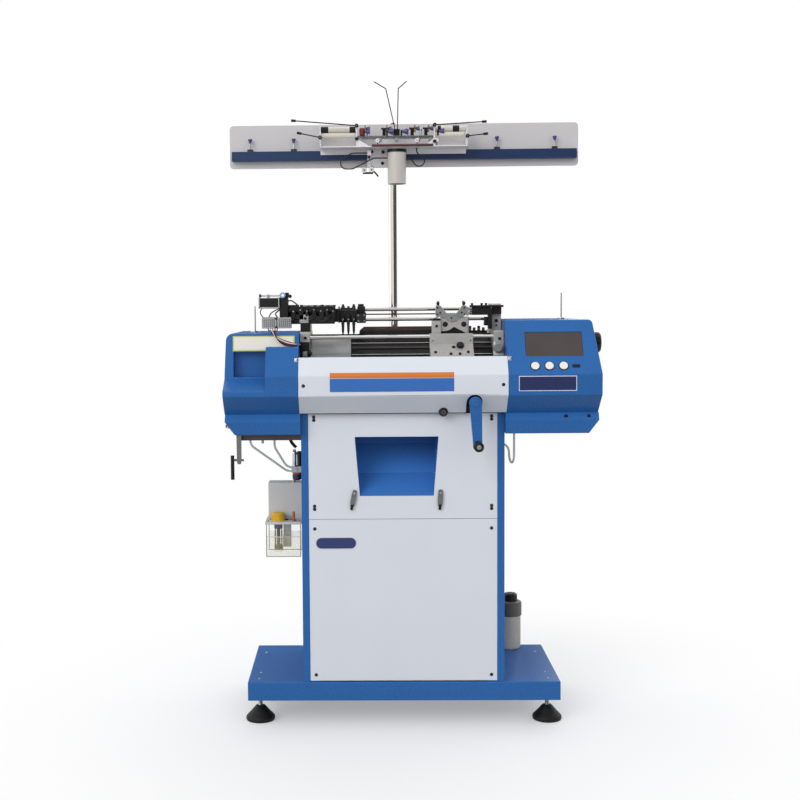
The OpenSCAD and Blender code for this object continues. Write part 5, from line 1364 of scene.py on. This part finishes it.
class KNITTING_OT_tension(bpy.types.Operator):
    """Finish the tension bracket with its tubes, discs, knobs, eyelets, arms and guide wires"""

    bl_idname = "knitting.tension"
    bl_label = "Yarn tension"

    # Where the tension units stand along the bracket, and the yarn tubes' axis (y, z) behind them.
    UNITS = (-112, -46, 40, 82)
    TUBES = (-10, 1798)

    def execute(self, context):
        edge = sizes().machined_edge
        tube_y, tube_z = self.TUBES
        # The bracket's paler white is painted light against its shade.
        dress("tension_bracket", powder_coat_bracket_lit(), "white_paint", edge * 0.8, others=[
            (glazed_cream(), lambda spot, normal: abs(spot.y - tube_y) < 9.2 and abs(spot.z - tube_z) < 9.2
             and abs(normal.x) < 0.5),
            (ground_steel(), lambda spot, normal: spot.y < -35.5),
            (ground_steel(), lambda spot, normal: abs(spot.y - tube_y) < 7 and 1767 < spot.z < 1779
             and abs(normal.x) < 0.5)])

        def unit_part(low, high):
            return lambda spot, normal: any(low <= spot.x - x <= high for x in self.UNITS)

        dress("tension_discs", blued_steel(), "bare_steel", edge * 0.6, others=[
            (brass(), unit_part(5, 11)), (moulded_purple(), unit_part(11.5, 24))])
        dress("yarn_wires", blued_steel(), "chrome_plate", 0)
        for node in ("yarn_arm_a", "yarn_arm_b", "yarn_arm_c", "yarn_arm_d"):
            dress(node, moulded_black(), "black_plastic", edge)
        self.fittings()
        self.sensor()
        return {"FINISHED"}

    def fittings(self):
        """Strips, grips, eyelets, studs, knobs, tubes, gussets and pulleys of the bracket."""
        black, steel = moulded_black(), ground_steel()
        parts = [
            block("edge_strip", (-84, -38, 1742.5), (103, -35.1, 1748.5), oiled_iron(), 0.5),
            block("edge_line", (-84, -37, 1748.4), (103, -35.1, 1750.5), label_ink("#a8485a"), 0.3),
            block("red_unit", (-122, -18, 1780), (-106, 0, 1800), label_ink("#8f2430"), 1),
            block("red_seat", (-120, -16, 1777), (-108, -4, 1781), black, 0.5),
        ]
        for x, grip in ((-241, 24), (-152, 18), (164, 20), (118, 10)):
            parts.append(turned("grip", [(9, 0), (9.7, 0.6), (9.7, grip - 0.6), (9, grip)], (x, *self.TUBES), black,
                                axis="X"))
        for x in (-66.6, 54, 114):
            parts.append(turned("eyelet", [(2, 0), (5, -0.5), (6.5, 1.5), (6.5, 3.5), (5, 5.5), (2, 5), (2, 0)],
                                (x, -31, 1761), moulded_white(), axis="-Y"))
            parts.append(block("eyelet_foot", (x - 2, -34, 1744), (x + 2, -31.5, 1756), steel, 0.3))
        parts += [turned("stud", [(0, 7), (4, 6.5), (5.5, 4), (5, 1), (3, 0), (0, 0)], (x, -35, z), black, axis="-Y")
                  for x, z in ((-130.5, 1767), (107.5, 1757))]
        parts += front_screws(33, ((-84, 1735), (-49, 1734), (-50.6, 1699.5)), 5, black)
        parts += [turned("stud_pin", [(0, 0), (2.5, 0), (2.5, 14), (4, 15), (4, 19), (0, 20)], (x, -12, 1778), steel,
                         steps=16) for x in (-98, 8, 26, 66)]
        for x, size in ((-100, 7), (-30, 10.5), (14, 9), (126, 8.5)):
            parts.append(turned("side_knob", [(0, 11), (size, 11), (size, 8), (size * 0.6, 0), (3, -7), (0, -7)],
                                (x, -20, 1790), moulded_purple(), axis="X", steps=20))
            parts.append(block("side_knob_seat", (x - 10, -24, 1776), (x - 5, -10, 1794), black, 0.6))
        for x, length in ((-235, 98), (112, 84)):
            wall = [(5, 0), (7.5, 0), (8, 0.6), (8, length - 0.6), (7.5, length), (5, length), (5, 0)]
            parts.append(turned("tube", wall, (x, -14, 1780), glazed_cream(), axis="X"))
        for x, lean in ((-129, 38), (106, -26)):
            corners = [(x, 1768), (x, 1745), (x + lean, 1745)]
            # The gussets take the bracket's paler white of painted light.
            parts.append(cut_plate("gusset", corners, -34, -31.5, powder_coat_bracket_lit()))
        for x in (-120, -60, -8, 58, 96):
            parts.append(turned("pulley", [(0, 0), (6, 0), (7, 1), (5, 3), (7, 5), (6, 6), (0, 6)], (x, -24, 1763),
                                zinc_steel(), axis="-Y", steps=20))
            parts.append(block("pulley_arm", (x - 2, -25, 1762), (x + 2, -5, 1772), black, 0.4))
        hand_over("tension_fittings", parts, "machine", "black_plastic")

    def sensor(self):
        """Small yarn sensor that hangs from the mounting plate on a bent rod."""
        black, white, steel = moulded_black(), moulded_white(), ground_steel()
        parts = [
            wire("rod", [(-93, 31.5, 1722), (-90, 27, 1704), (-84, 25, 1690), (-83, 25, 1680)], 3, steel),
            block("clip", (-97, 27, 1716), (-88, 33, 1728), black, 0.8),
            block("holder", (-112, 22, 1666), (-80, 25, 1672), black, 1),
            block("holder_arm", (-87, 23, 1668), (-79, 27, 1690), steel, 0.6),
            wire("tip", [(-82, 25, 1676), (-76, 25, 1672), (-64, 25, 1658)], 5, black),
        ]
        for x, z in ((-108, 1678), (-85, 1679)):
            parts.append(turned("roller", [(2, 0), (7, 0), (8.5, 1), (7, 4), (8.5, 7), (7, 8), (2, 8), (2, 0)],
                                (x, 25, z), white, axis="-Y"))
            parts.append(cap_screw((x, 17.5, z), 2.6, "-Y", steel))
        hand_over("yarn_sensor", parts, "machine", "white_plastic")


# Side units and drive


class KNITTING_OT_oil_unit(bpy.types.Operator):
    """Finish the oil pump, its tank with oil, the oil cap, the air valve and the bottle"""

    bl_idname = "knitting.oil_unit"
    bl_label = "Oil unit"

    def execute(self, context):
        edge = sizes().machined_edge
        dress("pump_tank", tank_acrylic(), "clear_plastic", edge)
        dress("pump_housing", housing_grey(), "grey_plastic", edge * 3, rounds=3)
        self.cap()
        self.oil()
        self.valve()
        self.bottle()
        return {"FINISHED"}

    def cap(self):
        """The ribbed oil cap with its neck and the bars and foot of its strainer."""
        low, high = span_of("oil_cap")
        place = (*spot_on("oil_cap").xy, 0)
        height = 24
        lid = high.z - height
        section = ((0, height), (15, height), (16, 23), (19, 23), (20.8, 21.5), (20.8, 3), (21.4, 2.4), (21.4, 0),
                   (0, 0))
        cap = turned("cap", [(radius, lid + z) for radius, z in section], place, moulded_yellow(), steps=60)

        def rib(spot, normal):
            reach = math.hypot(spot.x - place[0], spot.y - place[1])
            turn = math.degrees(math.atan2(normal.y, normal.x)) % 12
            return abs(normal.z) < 0.2 and 20 < reach < 21 and turn < 6

        with editing(cap, rib):
            bpy.ops.mesh.extrude_region_shrink_fatten(TRANSFORM_OT_shrink_fatten={"value": 0.0007})
        black = moulded_black()
        neck = turned("neck", [(0, lid + 0.5), (13, lid + 0.5), (13, lid - 24), (12, lid - 25), (0, lid - 25)], place,
                      black)
        foot = turned("foot", [(0, low.z + 14), (11, low.z + 14), (13, low.z + 12), (13, low.z + 1), (12, low.z),
                               (0, low.z)], place, black)
        core = turned("core", bar(5.5, lid - 24, low.z + 13), place, black, steps=16)
        bars = []
        for k in range(6):
            turn = math.radians(60 * k + 30)
            spot = (place[0] + 11.4 * math.cos(turn), place[1] + 11.4 * math.sin(turn), 0)
            bars.append(turned("bar", bar(1.5, lid - 24, low.z + 13), spot, black, steps=10))
        stand_in("oil_cap", [smooth(cap), neck, foot, core, *bars], "yellow_plastic")

    def oil(self):
        """Oil in the tank, with room left for the strainer and the pump's foot that stand in it."""
        low, high = span_of("pump_tank")
        strainer = (*spot_on("oil_cap").xy, 0)
        # The oil keeps just clear of the walls.
        wall, level = 3.2, 557
        oil = block("oil", (low.x + wall, low.y + wall, low.z + wall), (high.x - wall, high.y - wall, level),
                    machine_oil(), 1)
        well = turned("well", bar(15, 508, 570), strainer, moulded_black())
        pit = block("pit", (-367, -75, 515), (-341, -43, 570), moulded_black(), 0.5)
        for cutter in (well, pit):
            cut = oil.modifiers.new("room", "BOOLEAN")
            cut.operation = "DIFFERENCE"
            cut.object = cutter
            pick(oil)
            bpy.ops.object.modifier_apply(modifier=cut.name)
            bpy.data.objects.remove(cutter)
        paint(smooth(oil), machine_oil())
        hand_over("oil", [oil], "machine", "clear_plastic")
        # The lid's top, on which the cap turns.
        lid = pivot_of("oil_cap_turn").z
        foot = block("pump_foot", (-366, -74, 516), (-342, -44, 596), glazed_cream(), 2)
        pin = turned("pin", [(0, 30), (3, 29.5), (4, 28), (4, 6), (6, 5), (6, 0), (0, 0)], (-331, -122, lid),
                     label_ink("#a8622c"), steps=20)
        nuts = [turned("bolt", [(0, 3.5), (4, 3.5), (4.6, 2.8), (4.6, 0), (0, 0)], (x, y, lid), zinc_steel(), steps=6,
                       crease=25) for x, y in ((-410, -130), (-314, -130), (-345, -100))]
        nozzle = turned("nozzle", [(0, 12), (3, 12), (4, 10), (4, 3), (7, 2), (7, 0), (0, 0)],
                        (-332, -58, top_of("pump_housing")), zinc_steel(), steps=20)
        hand_over("pump_fittings", [foot, pin, nozzle, *nuts], "machine", "grey_plastic")
        # Dark strips at the clear tank's corners and foot are painted shade for the dark edges of its walls, and a pale
        # strip marks the oil's rim.
        seam = label_ink("#6f7168")
        edge_shades_and_rim = [block("seam", (x - 1.2, y - 1.2, low.z + 1), (x + 1.2, y + 1.2, high.z - 1), seam, 0.5)
                 for x in (low.x + 2, high.x - 2) for y in (low.y + 2, high.y - 2)]
        edge_shades_and_rim += [block("foot_seam", (low.x + 3, y - 1, low.z + 1), (high.x - 3, y + 1, low.z + 3), seam, 0.4)
                  for y in (low.y + 2, high.y - 2)]
        edge_shades_and_rim.append(block("oil_rim", (low.x + wall, low.y + wall, level - 1),
                           (high.x - wall, low.y + wall + 1, level + 1), glazed_cream(), 0.2))
        hand_over("tank_seams", edge_shades_and_rim, "machine", "clear_plastic")

    def valve(self):
        """The air valve's block, cylinders and knob, and the fittings under the drip ledge."""
        low, high = span_of("air_valve")
        y = spot_on("air_valve").y
        left = low.x - 9
        parts = [
            block("body", (left, y - 15, 747), (high.x, y + 15, 766), housing_grey(), 1.5),
            turned("knob", [(0, 723), (10, 723), (13, 725), (14.5, 729), (14.5, 740), (13, 741.5), (0, 741.5)],
                   (left + 17, y, 0), label_ink("#1c2040"), steps=36),
            turned("knob_ring", [(12.5, 741), (14, 741.4), (14, 745.5), (12.5, 747), (0, 748)], (left + 17, y, 0),
                   label_ink("#b8482a"), steps=36),
            cap_screw((left + 17, y - 15, 756), 4, "-Y", zinc_steel()),
        ]
        for x, material in ((left + 9, chrome_plate()), (left + 24, black_oxide())):
            parts.append(turned("cylinder", [
                (0, 765), (7.4, 765), (7.4, 768), (6.8, 769), (6.8, 800), (7.4, 801), (7.4, 808), (5.5, 812), (0, 812)
            ], (x, y, 0), material, steps=28))
        parts.append(turned("top_nut", barrel(5.5, 811, 817, 0.5, 1), (left + 9, y, 0), zinc_steel(), steps=6,
                            crease=25))
        stand_in("air_valve", parts, "bare_steel")
        elbow = wire("elbow", [(-341, -100, 862), (-338, -100, 848), (-330, -100, 836), (-322, -100, 828)], 10,
                     moulded_black())
        nut = turned("elbow_nut", barrel(8.5, 0, 8, 0.5, 1), (-341, -100, 854), zinc_steel(), steps=6, crease=25)
        stub = turned("stub", [(0, 0), (3, 0), (4, 2), (4, 10), (6, 11), (6, 16), (0, 16)], (-421, -150, 846),
                      zinc_steel())
        hand_over("ledge_fittings", [elbow, nut, stub], "machine", "black_plastic")

    def bottle(self):
        """A ribbed bottle with a collar and a grooved cap."""
        place = spot_on("collection_bottle", z=0)
        body = turned("body", [
            (0, 2), (24, 0), (27, 0), (31, 3), (33, 9), (33, 14), (33, 104), (33.5, 110), (0, 110)
        ], place, bottle_polyethylene(), steps=60)

        def rib(spot, normal):
            turn = math.degrees(math.atan2(normal.y, normal.x)) % 12
            return abs(normal.z) < 0.1 and place.z + 20 < spot.z < place.z + 100 and turn < 6

        with editing(body, rib):
            bpy.ops.mesh.extrude_region_shrink_fatten(TRANSFORM_OT_shrink_fatten={"value": 0.0009})
        smooth(body)
        collar = turned("collar", [(0, 110), (36, 110), (37, 111), (37, 150), (36, 155), (30, 158), (0, 158)], place,
                        moulded_grey(), steps=48)
        cap = [(0, 158), (23, 158), (23, 161)]
        for k in range(4):
            cap += [(22.4, 162 + 4 * k), (23, 164 + 4 * k)]
        cap = turned("cap", [*cap, (21.5, 179), (18, 182), (0, 182)], place, moulded_black(), steps=48)
        stand_in("collection_bottle", [body, collar, cap], "bottle_plastic")


class KNITTING_OT_drive(bpy.types.Operator):
    """Finish the crank, its grip, the shaft, the belt, the motor and the pulleys"""

    bl_idname = "knitting.drive"
    bl_label = "Drive"

    def execute(self, context):
        edge = sizes().machined_edge
        dress("hand_crank", powder_coat_blue(), "blue_paint", edge * 4, rounds=3)
        dress("crank_grip", moulded_black(), "black_plastic", edge * 2, rounds=3)
        dress("drive_shaft", ground_steel(), "bare_steel", edge)
        dress("drive_motor", oiled_iron(), "dark_casting", edge * 3)
        dress("motor_pulley", ground_steel(), "bare_steel", edge)
        dress("drive_belt", foot_rubber(), "belt_rubber", edge)
        pivot = pivot_of("crank_turn")
        hub = turned("hub", [(0, 3), (9.5, 3), (11.5, 2.2), (12, 0.6), (12, 0), (0, 0)],
                     (pivot.x, pivot.y - 6, pivot.z), powder_coat_blue(), axis="-Y")
        hand_over("crank_hub", [hub], BODY_OF["hand_crank"], "blue_paint")
        place = spot_on("crank_grip", y=0)
        washer = turned("washer", [(2.5, 0.8), (6, 0.8), (6.6, 0), (2.5, -0.5)], place, milled_grey(), axis="-Y")
        screw = cap_screw(place, 3, "-Y", zinc_steel())
        hand_over("grip_screw", [washer, screw], BODY_OF["crank_grip"], "bare_steel")
        return {"FINISHED"}


class KNITTING_OT_latches(bpy.types.Operator):
    """Finish the chute latches and the stop lever"""

    bl_idname = "knitting.latches"
    bl_label = "Latches and lever"

    def execute(self, context):
        edge = sizes().machined_edge
        for node in ("left_latch", "right_latch"):
            pivot = pivot_of(node + "_swing")
            plate = skin(node, pressed_steel(), edge * 1.4)
            # The lower part, up to this share of the height, is a black sleeve.
            tip = at(*spot_on(node, z=0.28))
            with editing(plate):
                bpy.ops.mesh.bisect(plane_co=tip, plane_no=(0, 0, 1))
            plate.data.materials.append(moulded_black())
            for face in plate.data.polygons:
                face.material_index = int(face.center.z < tip.z)
            pin = turned("pin", [(0, 2.2), (3, 2.2), (3.8, 1.4), (4, 0), (0, 0)], (pivot.x, front_of(node), pivot.z),
                         zinc_steel(), axis="-Y", steps=20)
            stand_in(node, [plate, pin], "black_plastic")
        dress("stop_lever", pressed_steel(), "bare_steel", edge, others=[
            (moulded_black(), lambda spot, normal: spot.x < -494)])
        return {"FINISHED"}


class KNITTING_OT_labels(bpy.types.Operator):
    """Put the plain coloured label fields on the covers and the lower panel"""

    bl_idname = "knitting.labels"
    bl_label = "Plain labels"

    def execute(self, context):
        self.cover_strip()
        self.console_plate()
        self.panel_plate()
        self.side_label()
        self.clips()
        return {"FINISHED"}

    def cover_strip(self):
        """A bent two-colour trim strip on the white cover: an orange band over a blue field."""
        left, right, thin = -213, 147.6, 0.4
        # Depth of the strip on the cover's front, height where the cover's bend starts, and radius on the bend.
        front, fold, radius = front_of("middle_cover") - 0.2, 1053.2, 14.2
        arc = [math.radians(a) for a in range(0, 31, 6)]
        bend = [(front + radius * (1 - math.cos(a)), fold + radius * math.sin(a)) for a in arc]
        end = (bend[-1][0] + 2.6, bend[-1][1] + 4.5)
        parts = [
            ribbon("field", left, right, [(front, 1009.5), (front, 1048)], thin, label_ink("#2a68b8")),
            ribbon("line", left, right, [(front, 1048), (front, 1049.2)], thin, label_ink("#c9cfdc")),
            ribbon("band", left, right, [(front, 1049.2), (front, fold), *bend[1:], end], thin, label_ink("#cf7429")),
        ]
        hand_over("cover_strip", parts, "machine", "blue_paint")

    def console_plate(self):
        """A plain navy plate with a pale edge."""
        left, low, right, high, rim = 334.4, 1008.5, 501.7, 1052.3, 2
        front = front_of("right_cover")
        border = block("border", (left, front - 0.7, low), (right, front, high), label_ink("#dfe3ec"), 0.3)
        field = block("field", (left + rim, front - 1, low + rim), (right - rim, front - 0.5, high - rim),
                      label_ink("#16235a"), 0.2)
        hand_over("console_plate", [border, field], "machine", "blue_paint")

    def panel_plate(self):
        """A plain oblong plate with round ends."""
        left, low, right, high, corner, rim = -262, 533, -138, 570, 18, 2.5
        front = front_of("lower_front_panel")
        outer = rounded_rectangle(left, low, right, high, corner)
        inner = rounded_rectangle(left + rim, low + rim, right - rim, high - rim, corner - rim)
        parts = [
            cut_plate("border", outer, front - 0.8, front, label_ink("#c9cdd8"), 0.2),
            cut_plate("field", inner, front - 1.1, front - 0.5, label_ink("#1e2f66"), 0.2),
        ]
        hand_over("panel_plate", parts, "machine", "blue_paint")

    def side_label(self):
        """An off-white label with a yellow-green border on the left cover's set-back face."""
        def face(z, proud):
            return (-222 + (z - 1048) * 17 / 132 - proud, z)

        border = ribbon("border", -501, -318, [face(1128, 0.25), face(1172, 0.25)], 0.4, label_ink("#c6c86e"))
        field = ribbon("field", -497, -322, [face(1131.5, 0.5), face(1168.5, 0.5)], 0.4, label_ink("#e6e3d8"))
        hand_over("side_label", [border, field], "machine", "white_paint")

    def clips(self):
        """Chrome corner clips at the upper ends of the white cover."""
        for name, x in (("left_clip", -311), ("right_clip", 311)):
            clip = block("clip", (x - 6, -268, 1096), (x + 6, -258, 1108), chrome_plate(), 2.5, 3)
            stud = ball((x, -268, 1102), 3, chrome_plate())
            hand_over(name, [clip, stud], "machine", "chrome_plate")


class KNITTING_PT_panel(bpy.types.Panel):
    """Lists the machine's pieces in the sidebar"""

    bl_idname = "KNITTING_PT_panel"
    bl_label = "Glove knitting machine"
    bl_space_type = "VIEW_3D"
    bl_region_type = "UI"
    bl_category = "Knitting"

    def draw(self, context):
        for group in (colours(), sizes()):
            box = self.layout.box()
            for name in group.__annotations__:
                box.prop(group, name)
        for piece in PIECES:
            self.layout.operator(piece.bl_idname)


PIECES = (
    KNITTING_OT_stage,
    KNITTING_OT_hoses,
    KNITTING_OT_sheet_metal,
    KNITTING_OT_feet,
    KNITTING_OT_screws,
    KNITTING_OT_console,
    KNITTING_OT_needle_beds,
    KNITTING_OT_rods,
    KNITTING_OT_carriage,
    KNITTING_OT_yarn_feed,
    KNITTING_OT_yarn_rail,
    KNITTING_OT_tension,
    KNITTING_OT_oil_unit,
    KNITTING_OT_drive,
    KNITTING_OT_latches,
    KNITTING_OT_labels,
)
CLASSES = (KnittingColours, KnittingSizes, *PIECES, KNITTING_PT_panel)


def register():
    for item in CLASSES:
        bpy.utils.register_class(item)
    bpy.types.Scene.knitting_colours = PointerProperty(type=KnittingColours)
    bpy.types.Scene.knitting_sizes = PointerProperty(type=KnittingSizes)


def unregister():
    del bpy.types.Scene.knitting_sizes
    del bpy.types.Scene.knitting_colours
    for item in reversed(CLASSES):
        bpy.utils.unregister_class(item)


def main():
    register()
    for piece in PIECES:
        group, action = piece.bl_idname.split(".")
        getattr(getattr(bpy.ops, group), action)()


if __name__ == "__main__":
    main()
